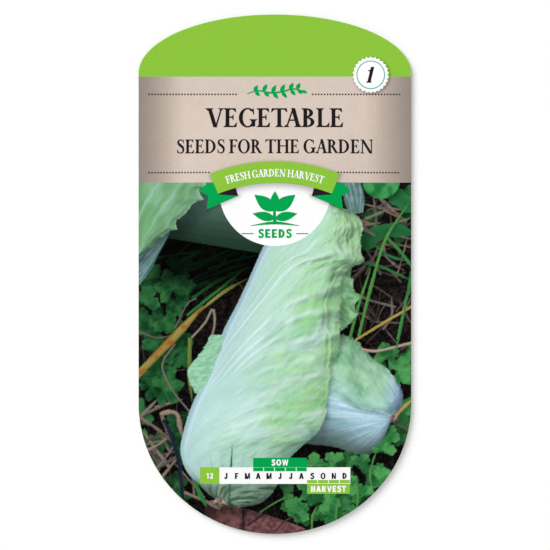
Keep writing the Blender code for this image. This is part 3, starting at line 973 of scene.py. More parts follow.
def puckers(x, y):
    """Faint waves that the glued rim pulls into the paper, strongest on the shoulders."""
    lift = swell(x, y)
    slope = 4 * lift * (1 - lift)
    return 0.09 * slope * (fbm(x * 0.16, y * 0.09, 3, 120) - 0.5) * 2


def front_height(x, y, layer):
    """Height of the front at some layer above the sheet's inner side."""
    return FRONT_INNER + FRONT_SWELL * swell(x, y) + puckers(x, y) + layer


def back_height(x, y, layer):
    """Height of the back sheet's inner side, less a layer below it."""
    drop = RIM_LIFT * ramp(swell(x, y) / FOOT_FLAT_FROM)
    return RIM_LIFT + SHEET - drop - layer


def packet_rows(low, high, step):
    """Heights of the grid's rows: even on the straight sides and by turn on the round ends."""
    rows = []
    if low < FOOT_START:
        turn = math.asin((FOOT_START - low) / FOOT_RISE)
        count = math.ceil(FOOT_RISE * turn / step)
        rows += list(FOOT_START - FOOT_RISE * np.sin(np.linspace(turn, 0, count + 1)))[:-1]
    straight_low, straight_high = max(low, FOOT_START), min(high, HEAD_START)
    if straight_low < straight_high:
        count = math.ceil((straight_high - straight_low) / step)
        rows += list(np.linspace(straight_low, straight_high, count + 1))
    if high > HEAD_START:
        start = math.asin(max(0.0, low - HEAD_START) / HEAD_RISE)
        turn = math.asin(min(1.0, (high - HEAD_START) / HEAD_RISE))
        count = math.ceil(HEAD_RISE * 1.6 * (turn - start) / step)
        head = list(HEAD_START + HEAD_RISE * np.sin(np.linspace(start, turn, count + 1)))
        rows += head[1:] if rows else head
    return np.array(rows)


def packet_grid(low, high, step):
    """Places that fill the outline between two heights, as two arrays of rows and columns."""
    y = packet_rows(low, high, step)[:, None]
    across = np.linspace(-1, 1, 2 * math.ceil(WIDTH / 2 / step) + 1)[None, :]
    return across * half_width(y), y + 0 * across


# ---------------------------------------------------------------- making meshes



def mesh_object(name, points, faces):
    """An object from points in millimetres."""
    data = bpy.data.meshes.new(name)
    data.from_pydata((np.asarray(points) * MM).tolist(), [], np.asarray(faces).tolist())
    data.update()
    data.shade_smooth()
    obj = bpy.data.objects.new(name, data)
    bpy.context.scene.collection.objects.link(obj)
    return obj


def flat_uv(obj):
    """A map seen from above, so that the print keeps its proportions."""
    data = obj.data
    places = np.empty(len(data.vertices) * 3, np.float32)
    data.vertices.foreach_get("co", places)
    places = places.reshape(-1, 3)[:, :2]
    low = places.min(axis=0)
    share = (places - low) / (places - low).max()
    corners = np.empty(len(data.loops), np.int32)
    data.loops.foreach_get("vertex_index", corners)
    layer = data.uv_layers.new(name="OFBake")
    layer.uv.foreach_set("vector", (0.01 + 0.98 * share[corners]).ravel())


def store_colours(obj, colours):
    attribute = obj.data.color_attributes.new("print", "FLOAT_COLOR", "POINT")
    full = np.ones((len(colours), 4), np.float32)
    full[:, :3] = colours
    attribute.data.foreach_set("color", full.ravel())


def add_piece(obj, material):
    obj.data.materials.append(material)
    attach(obj, "root")
    return obj


def zone_sheet(name, x, y, colours, material):
    """A printed zone of the front, as one grid."""
    z = front_height(x, y, PAPER_TOP + ZONE_INK)
    points = np.stack([x, y, z], axis=-1).reshape(-1, 3)
    obj = mesh_object(name, points, grid_quads(*x.shape))
    store_colours(obj, colours.reshape(-1, 3))
    flat_uv(obj)
    return add_piece(obj, material)


def paper_shell(name, height, inner, outer, material, replaced, step=1.2):
    """A closed sheet of paper between two layers of a height function."""
    x, y = packet_grid(-LENGTH / 2 + 0.02, LENGTH / 2 - 0.02, step)
    rows, columns = x.shape
    top = np.stack([x, y, height(x, y, outer)], axis=-1).reshape(-1, 3)
    low = np.stack([x, y, height(x, y, inner)], axis=-1).reshape(-1, 3)
    quads = grid_quads(rows, columns)
    index = np.arange(rows * columns).reshape(rows, columns)
    loop = np.concatenate([index[0], index[1:, -1], index[-1, -2::-1], index[-2:0:-1, 0]])
    beyond = np.roll(loop, -1)
    count = rows * columns
    walls = np.stack([loop + count, beyond + count, beyond, loop], axis=-1)
    faces = np.vstack([quads, quads[:, ::-1] + count, walls])
    obj = mesh_object(name, np.vstack([top, low]), faces)
    obj.data.set_sharp_from_angle(angle=math.radians(40))
    flat_uv(obj)
    add_piece(obj, material)
    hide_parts(replaced)
    return obj


# ---------------------------------------------------------------- flat shapes and letters


def turned(points, angle):
    """Points turned about the origin."""
    c, s = math.cos(angle), math.sin(angle)
    return [(c * x - s * y, s * x + c * y) for x, y in points]


def moved(points, dx, dy, scale=1.0):
    return [(dx + scale * x, dy + scale * y) for x, y in points]


def box(x0, x1, y0, y1):
    return [(x0, y0), (x1, y0), (x1, y1), (x0, y1)]


def ellipse_arc(cx, cy, rx, ry, start, end, count=24):
    turns = np.radians(np.linspace(start, end, count))
    return [(cx + rx * math.cos(a), cy + ry * math.sin(a)) for a in turns]


def ring_part(cx, cy, outer, inner, start, end, count=24):
    """A part of a ring; outer and inner are (x radius, y radius)."""
    there = ellipse_arc(cx, cy, *outer, start, end, count)
    back = ellipse_arc(cx, cy, *inner, end, start, count)
    return there + back


def brush(points, widths, count=32):
    """A stroke along a smooth line, with a width at each of its points."""
    line = smooth_line([(*p, w) for p, w in zip(points, widths)], count)
    side = sides_of(line) * line[:, 2:] / 2
    left = [tuple(p) for p in line[:, :2] + side]
    right = [tuple(p) for p in line[:, :2] - side]
    return left + right[::-1]


def union(polygons):
    """Triangles that cover the polygons once, as points and faces."""
    points, faces = [], []
    for polygon in polygons:
        area = sum(a[0] * b[1] - b[0] * a[1] for a, b in zip(polygon, polygon[1:] + polygon[:1]))
        ordered = polygon if area > 0 else polygon[::-1]
        faces.append(list(range(len(points), len(points) + len(ordered))))
        points += [Vector(p) for p in ordered]
    found = delaunay_2d_cdt(points, [], faces, 0, 1e-4)
    triangles = [list(face) for face, source in zip(found[2], found[5]) if source]
    return [tuple(p) for p in found[0]], triangles


def cut_raster(mesh, pitch):
    """Cuts a flat mesh along a raster in both directions, and into triangles."""
    places = np.array([v.co[:2] for v in mesh.verts])
    for axis in (0, 1):
        low, high = places[:, axis].min(), places[:, axis].max()
        for k in range(math.floor(low / pitch) + 1, math.ceil(high / pitch)):
            at = Vector((0, 0, 0))
            at[axis] = k * pitch
            along = Vector((0, 0, 0))
            along[axis] = 1
            every = mesh.verts[:] + mesh.edges[:] + mesh.faces[:]
            bmesh.ops.bisect_plane(mesh, geom=every, plane_co=at, plane_no=along, dist=1e-4)
    bmesh.ops.triangulate(mesh, faces=mesh.faces[:])


# Faces with less than this doubled area, in mm2, are dropped.
SLIVER = 1e-7


def faces_one_way(mesh, points, underside):
    """The mesh's faces without slivers, all facing up, or down for the underside."""
    mesh.verts.index_update()
    faces = [[v.index for v in f.verts] for f in mesh.faces]
    corner = np.array([points[f] for f in faces])
    first, second = corner[:, 1] - corner[:, 0], corner[:, 2] - corner[:, 0]
    area = first[:, 0] * second[:, 1] - first[:, 1] * second[:, 0]
    return [f if (a > 0) != underside else f[::-1] for f, a in zip(faces, area) if abs(a) > SLIVER]


def lay_flat_mesh(name, mesh, layer, material, pitch=1.5, underside=False):
    """Cuts a flat mesh, in millimetres, along a fine raster and lays it on the packet."""
    cut_raster(mesh, pitch)
    points = np.array([v.co for v in mesh.verts])
    faces = faces_one_way(mesh, points, underside)
    mesh.free()
    if underside:
        points[:, 2] = back_height(points[:, 0], points[:, 1], SHEET + layer * LAYER_STEP)
    else:
        top = PAPER_TOP + ZONE_INK + layer * LAYER_STEP
        points[:, 2] = front_height(points[:, 0], points[:, 1], top)
    obj = mesh_object(name, points, faces)
    flat_uv(obj)
    return add_piece(obj, material)


def lay_polygons(name, polygons, layer, material, **more):
    points, faces = union(polygons)
    mesh = bmesh.new()
    verts = [mesh.verts.new((*p, 0)) for p in points]
    for face in faces:
        mesh.faces.new([verts[k] for k in face])
    return lay_flat_mesh(name, mesh, layer, material, **more)


# Sans capitals, one unit high, with strokes of one weight.
BOLD = 0.28
RUNG = 0.22


def sans_letters():
    """Each letter's width and its polygons."""
    pole = box(0, BOLD, 0, 1)
    top = 1 - RUNG
    s_spine = [(0.57, 0.78), (0.47, 0.90), (0.31, 0.92), (0.15, 0.83), (0.16, 0.66), (0.32, 0.54),
               (0.50, 0.42), (0.52, 0.22), (0.36, 0.09), (0.18, 0.10), (0.06, 0.24)]
    two = [(0.09, 0.76), (0.20, 0.90), (0.38, 0.90), (0.49, 0.74), (0.43, 0.55), (0.26, 0.33), (0.12, 0.12)]
    return {
        "A": (0.78, [slant(0, 0, 0.26, 1, 0.26), slant(0.52, 0, 0.26, 1, 0.26),
                     box(0.16, 0.60, 0.19, 0.37)]),
        "D": (0.70, [pole, ring_part(0.22, 0.5, (0.48, 0.5), (0.22, 0.5 - RUNG), -90, 90, 24),
                     box(0, 0.24, top, 1),
                     box(0, 0.24, 0, RUNG)]),
        "E": (0.60, [pole, box(0, 0.58, top, 1), box(0, 0.54, 0.42, 0.57), box(0, 0.60, 0, RUNG)]),
        "F": (0.56, [pole, box(0, 0.56, top, 1), box(0, 0.50, 0.40, 0.56)]),
        "H": (0.70, [pole, box(0.70 - BOLD, 0.70, 0, 1), box(0.1, 0.6, 0.42, 0.58)]),
        "J": (0.56, [box(0.29, 0.56, 0.28, 1),
                     ring_part(0.28, 0.29, (0.28, 0.31), (0.03, 0.10), 180, 360, 20)]),
        "M": (0.86, [pole, box(0.66, 0.86, 0, 1), slant(0.32, 0, 0.02, 1, 0.22),
                     slant(0.32, 0, 0.62, 1, 0.22)]),
        "N": (0.70, [pole, box(0.50, 0.70, 0, 1), slant(0.47, 0, 0.02, 1, 0.21)]),
        "O": (0.82, [ring_part(0.41, 0.5, (0.41, 0.52), (0.16, 0.32), a, a + 180, 24) for a in (0, 180)]),
        "R": (0.70, [pole, ring_part(0.32, 0.71, (0.33, 0.29), (0.13, 0.13), -90, 90, 20),
                     box(0, 0.34, top, 1),
                     box(0, 0.34, 0.42, 0.58), slant(0.47, 0, 0.26, 0.5, 0.22)]),
        "S": (0.62, [brush(s_spine, [0.23] * len(s_spine), 40)]),
        "T": (0.66, [box(0.23, 0.43, 0, 1), box(0, 0.66, top, 1)]),
        "V": (0.76, [slant(0.275, 0, 0, 1, 0.21), slant(0.275, 0, 0.55, 1, 0.21)]),
        "W": (1.00, [slant(0.19, 0, 0, 1, 0.19), slant(0.19, 0, 0.41, 1, 0.18),
                     slant(0.62, 0, 0.41, 1, 0.18),
                     slant(0.62, 0, 0.81, 1, 0.19)]),
        "1": (0.50, [box(0.22, 0.42, 0, 1), [(0.03, 0.66), (0.22, 0.80), (0.22, 1.0), (0.03, 0.84)]]),
        "2": (0.62, [brush(two, [0.19] * len(two), 30), box(0.05, 0.60, 0, RUNG)]),
    }


def sans_line(text, x, y, cap, gap=0.16):
    """Polygons of a line of sans capitals, centred on x, y."""
    letters = sans_letters()
    pen, polygons = 0.0, []
    for mark in text:
        width, shapes = letters[mark]
        polygons += [moved(shape, pen, 0) for shape in shapes]
        pen += width + gap
    start = x - cap * (pen - gap) / 2
    return [moved(shape, start, y - cap / 2, cap) for shape in polygons]


# Serif capitals, one unit high. STEM is a thick stroke, FULL a round or slanted one and HAIR a thin one.
STEM = 0.18
FULL = STEM + 0.01
HAIR = 0.078
SLAB = 0.05
REACH = 0.10


def stem(x, low=0.0, high=1.0, width=STEM):
    return box(x, x + width, low, high)


def serif(x, y, width=STEM, into=1, left=REACH, right=REACH):
    """A bracketed foot centred on x; into is +1 where the stroke rises from it, else -1."""
    a, b = x - width / 2, x + width / 2
    return [
        (a - left, y), (b + right, y), (b + right, y + into * SLAB * 0.7),
        (b + right * 0.35, y + into * SLAB * 1.3), (b, y + into * 0.13),
        (a, y + into * 0.13), (a - left * 0.35, y + into * SLAB * 1.3), (a - left, y + into * SLAB * 0.7),
    ]


def slant(x0, y0, x1, y1, width):
    return [(x0, y0), (x0 + width, y0), (x1 + width, y1), (x1, y1)]


def arm(x0, x1, y, into, beak=0.22):
    """A thin arm from x0 to x1 with a beak at its end; into is the side its thickness is on."""
    tip = -0.13 if x1 > x0 else 0.13
    lip = -0.025 if x1 > x0 else 0.025
    return [
        box(min(x0, x1), max(x0, x1), min(y, y + into * HAIR), max(y, y + into * HAIR)),
        [(x1, y), (x1 - lip, y + into * beak), (x1 - lip * 0.2, y + into * beak),
         (x1 + tip, y + into * HAIR), (x1 + tip, y)],
    ]


def bowl(cx, cy, rx, ry, start, end, thick=STEM, thin=HAIR):
    return ring_part(cx, cy, (rx, ry), (rx - thick, ry - thin), start, end, 40)


def serif_letters():
    """Each capital's advance and its polygons."""
    left = 0.10
    axis = left + STEM / 2
    both = [serif(axis, 0), serif(axis, 1, into=-1)]
    upper_arm = arm(left, 0.58, 1.0, -1)
    middle_beak = [(0.46, 0.36), (0.48, 0.36), (0.48, 0.68), (0.46, 0.68), (0.40, 0.545), (0.40, 0.49)]
    middle_arm = [box(left, 0.46, 0.49, 0.49 + HAIR), middle_beak]
    lower_arm = arm(left, 0.62, 0.0, 1, 0.26)
    s_spine = [(0.50, 0.80), (0.43, 0.93), (0.30, 0.975), (0.16, 0.91), (0.13, 0.76), (0.24, 0.61),
               (0.40, 0.48), (0.485, 0.32), (0.45, 0.11), (0.29, 0.025), (0.14, 0.08), (0.075, 0.23)]
    s_widths = [0.06, 0.07, 0.08, 0.11, 0.15, 0.185, 0.185, 0.15, 0.11, 0.08, 0.07, 0.06]
    return {
        "A": (0.82, [slant(0.085, 0, 0.40, 1.01, HAIR), slant(0.58, 0, 0.335, 1.01, FULL),
                     box(0.2, 0.62, 0.33, 0.33 + HAIR),
                     serif(0.11, 0, HAIR), serif(0.665, 0)]),
        "B": (0.70, [stem(left), bowl(0.25, 0.755, 0.31, 0.245, -90, 90),
                     bowl(0.25, 0.27, 0.375, 0.27, -90, 90),
                     box(left, 0.26, 1 - HAIR, 1), box(left, 0.26, 0.51, 0.51 + HAIR * 0.9),
                     box(left, 0.26, 0, HAIR),
                     serif(axis, 0, right=0), serif(axis, 1, into=-1, right=0)]),
        "D": (0.86, [stem(left), bowl(0.27, 0.5, 0.51, 0.5, -90, 90, FULL), box(left, 0.28, 1 - HAIR, 1),
                     box(left, 0.28, 0, HAIR),
                     serif(axis, 0, right=0), serif(axis, 1, into=-1, right=0)]),
        "E": (0.69, [stem(left), *both, *upper_arm, *middle_arm, *lower_arm]),
        "F": (0.64, [stem(left), *both, *upper_arm, *middle_arm]),
        "G": (0.88, [bowl(0.46, 0.5, 0.42, 0.52, 48, 318, FULL), stem(0.64, 0.03, 0.42),
                     serif(0.64 + STEM / 2, 0.42, into=-1),
                     [(0.72, 0.99), (0.755, 0.99), (0.765, 0.66), (0.735, 0.66), (0.66, 0.86)]]),
        "H": (0.94, [stem(left), stem(0.94 - left - STEM), box(left, 0.8, 0.49, 0.49 + HAIR), *both,
                     serif(0.94 - axis, 0), serif(0.94 - axis, 1, into=-1)]),
        "L": (0.64, [stem(left), *both, *lower_arm]),
        "N": (0.94, [stem(0.13, width=HAIR), stem(0.76, width=HAIR), slant(0.66, 0, 0.06, 1, STEM + 0.02),
                     serif(0.157, 0, HAIR), serif(0.787, 1, HAIR, into=-1), box(0.01, 0.1, 1 - SLAB, 1)]),
        "O": (0.92, [bowl(0.46, 0.5, 0.42, 0.52, 0, 180, FULL),
                     bowl(0.46, 0.5, 0.42, 0.52, 180, 360, FULL)]),
        "R": (0.78, [stem(left), *both, bowl(0.27, 0.735, 0.32, 0.265, -90, 90),
                     box(left, 0.28, 1 - HAIR, 1),
                     box(left, 0.28, 0.47, 0.47 + HAIR), slant(0.60, 0, 0.30, 0.50, FULL),
                     box(0.62, 0.84, 0, SLAB)]),
        "S": (0.60, [brush(s_spine, s_widths),
                     [(0.475, 0.98), (0.51, 0.98), (0.525, 0.70), (0.50, 0.70), (0.46, 0.84)],
                     [(0.06, 0.02), (0.095, 0.02), (0.115, 0.15), (0.07, 0.31), (0.045, 0.31)]]),
        "T": (0.78, [stem(0.39 - STEM / 2), serif(0.39, 0), *arm(0.39, 0.75, 1.0, -1),
                     *arm(0.39, 0.03, 1.0, -1)]),
        "V": (0.84, [slant(0.36, -0.01, 0.08, 1, FULL), slant(0.44, -0.01, 0.70, 1, HAIR),
                     serif(0.165, 1, into=-1),
                     serif(0.727, 1, HAIR, into=-1)]),
        "1": (0.40, [stem(0.14, width=0.21),
                     [(-0.02, 0.78), (0.14, 0.82), (0.20, 0.88), (0.35, 1.04), (0.35, 0.9), (0.14, 0.7)],
                     box(0.08, 0.41, 0, HAIR)]),
    }


KERNING = {"TA": -0.16, "AV": -0.1, "FO": -0.04, "AR": -0.02}


def serif_line(text, letters, cap, width, gap=0.24):
    """Polygons of a line of capitals, centred on x = 0 and stretched to a width."""
    pen, polygons = 0.0, []
    for before, mark in zip(" " + text, text):
        pen += KERNING.get(before + mark, 0)
        if mark == " ":
            pen += gap
            continue
        advance, shapes = letters[mark]
        polygons += [moved(shape, pen, 0) for shape in shapes]
        pen += advance
    across = width / pen
    return [[((x - pen / 2) * across, y * cap) for x, y in shape] for shape in polygons]


# ---------------------------------------------------------------- materials


def shader_tree(name, roughness, specular):
    """A new material, its node tree and its shader."""
    material = bpy.data.materials.new(name)
    material.use_nodes = True
    tree = material.node_tree
    shader = tree.nodes["Principled BSDF"]
    shader.inputs["Roughness"].default_value = roughness
    shader.inputs["Specular IOR Level"].default_value = specular
    return material, tree, shader


def object_noise(tree, scale, detail=3.0, stretch=(1, 1, 1)):
    """Noise in the piece's own coordinates; scale is in waves a millimetre."""
    place = tree.nodes.new("ShaderNodeTexCoord")
    mapping = tree.nodes.new("ShaderNodeMapping")
    mapping.inputs["Scale"].default_value = [s / MM * scale for s in stretch]
    noise_node = tree.nodes.new("ShaderNodeTexNoise")
    noise_node.inputs["Scale"].default_value = 1.0
    noise_node.inputs["Detail"].default_value = detail
    tree.links.new(place.outputs["Object"], mapping.inputs["Vector"])
    tree.links.new(mapping.outputs["Vector"], noise_node.inputs["Vector"])
    return noise_node.outputs["Fac"]


def spread(tree, value, low, high, source=(0.3, 0.7)):
    """Maps a noise value to a range."""
    node = tree.nodes.new("ShaderNodeMapRange")
    node.inputs["From Min"].default_value, node.inputs["From Max"].default_value = source
    node.inputs["To Min"].default_value, node.inputs["To Max"].default_value = low, high
    tree.links.new(value, node.inputs["Value"])
    return node.outputs["Result"]


def multiply(tree, colour, factor):
    """A colour times a value or another colour."""
    node = tree.nodes.new("ShaderNodeVectorMath")
    node.operation = "MULTIPLY"
    for socket, source in zip(node.inputs, (colour, factor)):
        if isinstance(source, bpy.types.NodeSocket):
            tree.links.new(source, socket)
        else:
            socket.default_value = source
    return node.outputs["Vector"]


def roughen(tree, shader, value, depth, strength=0.3):
    """Bump from a value, with its depth in millimetres."""
    bump = tree.nodes.new("ShaderNodeBump")
    bump.inputs["Strength"].default_value = strength
    bump.inputs["Distance"].default_value = depth * MM
    tree.links.new(value, bump.inputs["Height"])
    tree.links.new(bump.outputs["Normal"], shader.inputs["Normal"])


def ink(name, colour, mottle=0.03, roughness=0.45, specular=0.015):
    """A flat ink on coated paper, with the faint mottle of offset print."""
    material, tree, shader = shader_tree(name, roughness, specular)
    shade_value = spread(tree, object_noise(tree, 0.9), 1 - mottle, 1 + mottle)
    colour_out = multiply(tree, shade_value, tuple(linear(colour)))
    tree.links.new(colour_out, shader.inputs["Base Color"])
    roughen(tree, shader, object_noise(tree, 3.2), 0.008)
    return material


def picture_ink(name):
    """The picture: its colours are stored at its points. A fine screen grain lies over them."""
    material, tree, shader = shader_tree(name, 0.45, 0.015)
    stored = tree.nodes.new("ShaderNodeAttribute")
    stored.attribute_name = "print"
    grain = spread(tree, object_noise(tree, 2.4), 0.955, 1.045)
    tree.links.new(multiply(tree, stored.outputs["Color"], grain), shader.inputs["Base Color"])
    roughen(tree, shader, object_noise(tree, 3.2), 0.008)
    return material


def linen_ink():
    """The printed linen band: pale in the middle, brown towards the sides, with a thread pattern."""
    material, tree, shader = shader_tree("ink_linen", 0.5, 0.015)
    place = tree.nodes.new("ShaderNodeTexCoord")
    parts = tree.nodes.new("ShaderNodeSeparateXYZ")
    tree.links.new(place.outputs["Object"], parts.inputs["Vector"])
    side = tree.nodes.new("ShaderNodeMath")
    side.operation = "ABSOLUTE"
    tree.links.new(parts.outputs["X"], side.inputs[0])
    share = spread(tree, side.outputs["Value"], 0.0, 1.0, (0.0, WIDTH / 2 * MM))
    ramp_node = tree.nodes.new("ShaderNodeValToRGB")
    stops = (
        (0.0, (215, 199, 187)), (0.66, (215, 199, 187)), (0.735, (204, 188, 175)), (0.80, (188, 172, 159)),
        (0.87, (172, 158, 147)), (0.94, (158, 145, 136)), (1.0, (149, 137, 128)),
    )
    elements = ramp_node.color_ramp.elements
    while len(elements) < len(stops):
        elements.new(0.5)
    for element, (position, colour) in zip(elements, stops):
        element.position = position
        element.color = (*linear(colour), 1.0)
    tree.links.new(share, ramp_node.inputs["Fac"])
    across = object_noise(tree, 1.0, 2.0, (0.9, 3.6, 1))
    down = object_noise(tree, 1.0, 2.0, (3.6, 0.9, 1))
    blotch = object_noise(tree, 0.35)
    colour_out = ramp_node.outputs["Color"]
    for value, low, high in ((across, 0.965, 1.035), (down, 0.97, 1.03), (blotch, 0.985, 1.015)):
        colour_out = multiply(tree, colour_out, spread(tree, value, low, high))
    stored = tree.nodes.new("ShaderNodeAttribute")
    stored.attribute_name = "print"
    tree.links.new(multiply(tree, colour_out, stored.outputs["Color"]), shader.inputs["Base Color"])
    roughen(tree, shader, across, 0.012)
    return material


def plain_paper(name, colour, roughness, fibre=0.03):
    """Uncoated paper with fibres and slight clouds."""
    material, tree, shader = shader_tree(name, roughness, 0.3)
    clouds = spread(tree, object_noise(tree, 0.12, 5.0), 1 - fibre, 1 + fibre)
    fibres = spread(tree, object_noise(tree, 1.1, 4.0, (1, 0.3, 1)), 1 - fibre, 1 + fibre)
    tinted = multiply(tree, clouds, tuple(linear(colour)))
    tree.links.new(multiply(tree, tinted, fibres), shader.inputs["Base Color"])
    roughen(tree, shader, object_noise(tree, 1.6, 5.0, (1, 0.35, 1)), 0.03, 0.5)
    return material


def seed_coat():
    """Ribbed brown seed skin."""
    material, tree, shader = shader_tree("seed_coat", 0.7, 0.35)
    ribs = object_noise(tree, 2.5, 4.0, (0.3, 1, 1))
    tone = tree.nodes.new("ShaderNodeValToRGB")
    tone.color_ramp.elements[0].color = (*linear((84, 58, 36)), 1)
    tone.color_ramp.elements[1].color = (*linear((176, 142, 98)), 1)
    tree.links.new(spread(tree, ribs, 0, 1), tone.inputs["Fac"])
    tree.links.new(tone.outputs["Color"], shader.inputs["Base Color"])
    roughen(tree, shader, ribs, 0.06, 0.6)
    return material


def film(name, colour, roughness):
    """Glassine or dried glue: pale, slightly see-through and a little streaky."""
    material, tree, shader = shader_tree(name, roughness, 0.5)
    streaks = spread(tree, object_noise(tree, 0.5, 4.0, (1, 0.4, 1)), 0.93, 1.05)
    tree.links.new(multiply(tree, streaks, tuple(linear(colour))), shader.inputs["Base Color"])
    shader.inputs["Transmission Weight"].default_value = 0.25
    roughen(tree, shader, object_noise(tree, 0.8, 4.0), 0.03, 0.4)
    return material


# ---------------------------------------------------------------- the printed front


# How dark the shadows printed under the ribbon and the badge are.
RIBBON_SHADE = 0.34
BADGE_SHADE = 0.42


def ribbon_distance(x, y):
    """How far a place lies outside the ribbon."""
    radius = np.hypot(x, y - RING_Y)
    turn = np.abs(np.arctan2(x, y - RING_Y))
    beyond = np.maximum(RING_INNER - radius, radius - RING_OUTER)
    past = (turn - RING_TURN) * radius
    return np.hypot(np.maximum(beyond, 0), np.maximum(past, 0))


def tail_shadow(x, y):
    """The shade just below the ribbon's two tails."""
    (x0, y0), (x1, y1) = TAIL_EDGE
    run = math.hypot(x1 - x0, y1 - y0)
    below = ((y1 - y0) * (np.abs(x) - abs(x0)) - (y - y0) * (abs(x1) - abs(x0))) / run
    along = fall(np.abs(x), abs(x1) + 0.6, 1.2) * rise(np.abs(x), abs(x0) - 1.5, 1.5)
    return RIBBON_SHADE * along * near(below, 0.9) * (below > -0.5)


def printed_shadow(x, y):
    """Light left by the shadows printed under the ribbon and the badge."""
    under_ribbon = RIBBON_SHADE * near(ribbon_distance(x - 0.25, y + 0.45), 0.75)
    under_ribbon = np.maximum(under_ribbon, tail_shadow(x, y))
    past_badge = np.maximum(np.hypot(x - BADGE_X - 0.35, y - BADGE_Y + 0.35) - BADGE_RADIUS, 0)
    return (1 - under_ribbon) * (1 - BADGE_SHADE * near(past_badge, 0.55))


def grey(values):
    return np.repeat(values[..., None], 3, axis=-1)


# Grid steps of the plain zones, and the most triangles in one tile of the picture.
CAP_STEP = 0.5
LINEN_STEP = 0.4
TILE_TRIANGLES = 170_000


def print_zones(step):
    """The green cap, the linen band and the picture, which is cut into tiles."""
    cap_ink = picture_ink("ink_cap")
    x, y = packet_grid(CAP_Y, LENGTH / 2, CAP_STEP)
    zone_sheet("print_cap", x, y, linear(LEAF_GREEN) * grey(printed_shadow(x, y)), cap_ink)
    x, y = packet_grid(PICTURE_Y, CAP_Y, LINEN_STEP)
    zone_sheet("print_linen", x, y, grey(printed_shadow(x, y)), linen_ink())

    x, y = packet_grid(-LENGTH / 2, PICTURE_Y, step)
    colours = trace(compose(), x, y) * grey(printed_shadow(x, y))
    picture = picture_ink("ink_picture")
    tiles = math.ceil(2 * x.size / TILE_TRIANGLES)
    cuts = np.linspace(0, len(x) - 1, tiles + 1).astype(int)
    for k, (first, last) in enumerate(zip(cuts, cuts[1:])):
        part = slice(first, last + 1)
        zone_sheet(f"print_picture_{k + 1}", x[part], y[part], colours[part], picture)


BADGE_X, BADGE_Y = 31.65, 65.85
BADGE_RADIUS = 5.75
BADGE_TEETH = 26
BADGE_TOOTH = 0.32
BADGE_CAP = 5.2
BADGE_LEAN = 0.24


def badge(letters, white, black):
    """A toothed white seal with a thin ring and a plain figure."""
    points = []
    for k in range(2 * BADGE_TEETH):
        turn = math.pi * k / BADGE_TEETH
        reach = BADGE_RADIUS + (BADGE_TOOTH if k % 2 else -BADGE_TOOTH * 0.6)
        points.append((BADGE_X + reach * math.cos(turn), BADGE_Y + reach * math.sin(turn)))
    lay_polygons("badge_seal", [points], 1, white)
    rings = [ring_part(BADGE_X, BADGE_Y, (4.72, 4.72), (4.40, 4.40), a, a + 180, 48) for a in (0, 180)]
    lay_polygons("badge_ring", rings, 2, ink("ink_teal", BADGE_TEAL))
    leaning = [[(x + BADGE_LEAN * y - 0.37, y - 0.5) for x, y in shape] for shape in letters["1"][1]]
    figure = [moved(shape, BADGE_X, BADGE_Y, BADGE_CAP) for shape in leaning]
    lay_polygons("badge_figure", figure, 2, black)


RULE_PITCH = 0.99
RULE_DOT = 0.50
RULE_HEIGHT = 0.48


def dotted_rules(black):
    for name, y, runs in (
        ("rule_upper", 59.4, ((-41.8, -12.0), (12.2, 42.0))),
        ("rule_lower", 33.55, ((-41.8, -20.6), (20.6, 42.0))),
    ):
        dots = []
        for start, end in runs:
            for k in range(int((end - start) / RULE_PITCH)):
                x = start + k * RULE_PITCH
                dots.append(box(x, x + RULE_DOT, y - RULE_HEIGHT / 2, y + RULE_HEIGHT / 2))
        lay_polygons(name, dots, 2, black)


def leaf_shape(x, y, length, width, angle):
    """A pointed leaf from its foot at x, y."""
    upper = [(length * t, width / 2 * math.sin(math.pi * t**0.8)) for t in np.linspace(0, 1, 14)]
    lower = [(a, -b) for a, b in upper[-2:0:-1]]
    return moved(turned(upper + lower, angle), x, y)


def sprig(green):
    """A small vine with pairs of leaves, in the place of a script word."""
    vine = [(-9.2, 59.6), (-5.5, 60.6), (-1.5, 59.9), (2.5, 60.3), (6.0, 61.2), (9.2, 60.4)]
    shapes = [brush(vine, [0.3, 0.5, 0.62, 0.62, 0.55, 0.4], 60)]
    pairs = ((-6.8, 60.4), (-3.9, 60.4), (-1.0, 59.95), (1.9, 60.2), (4.8, 60.9), (7.2, 61.1))
    for k, (x, y) in enumerate(pairs):
        size = 3.0 - 0.10 * abs(k - 2.5) ** 2
        shapes.append(leaf_shape(x, y, size, 1.4, math.radians(62)))
        shapes.append(leaf_shape(x + 0.35, y, size * 0.92, 1.3, math.radians(-48)))
    shapes.append(leaf_shape(8.7, 60.6, 2.2, 1.1, math.radians(-20)))
    lay_polygons("sprig", shapes, 1, green)


def titles(letters, black):
    title = serif_line("VEGETABLE", letters, 6.3, 45.6)
    lay_polygons("title_text", [moved(p, 0, 48.5) for p in title], 1, black)
    line = serif_line("SEEDS FOR THE GARDEN", letters, 4.6, 65.0)
    lay_polygons("subtitle_text", [moved(p, 0, 39.85) for p in line], 1, black)


def on_ring(points, radius):
    """Bends a line of print round the ribbon's ring."""
    bent = []
    for x, y in points:
        turn = x / radius
        bent.append(((radius + y) * math.sin(turn), RING_Y + (radius + y) * math.cos(turn)))
    return bent


def ring_band(inner, outer, turn, count=40):
    """A part of the ribbon's ring, the same on both sides of the middle."""
    degrees = math.degrees(turn)
    return ring_part(0, RING_Y, (outer, outer), (inner, inner), 90 - degrees, 90 + degrees, count)


def both_sides(shape):
    return [shape, [(-x, y) for x, y in shape]]


TAIL_EDGE = ((-12.1, 25.8), (-22.4, 21.4))


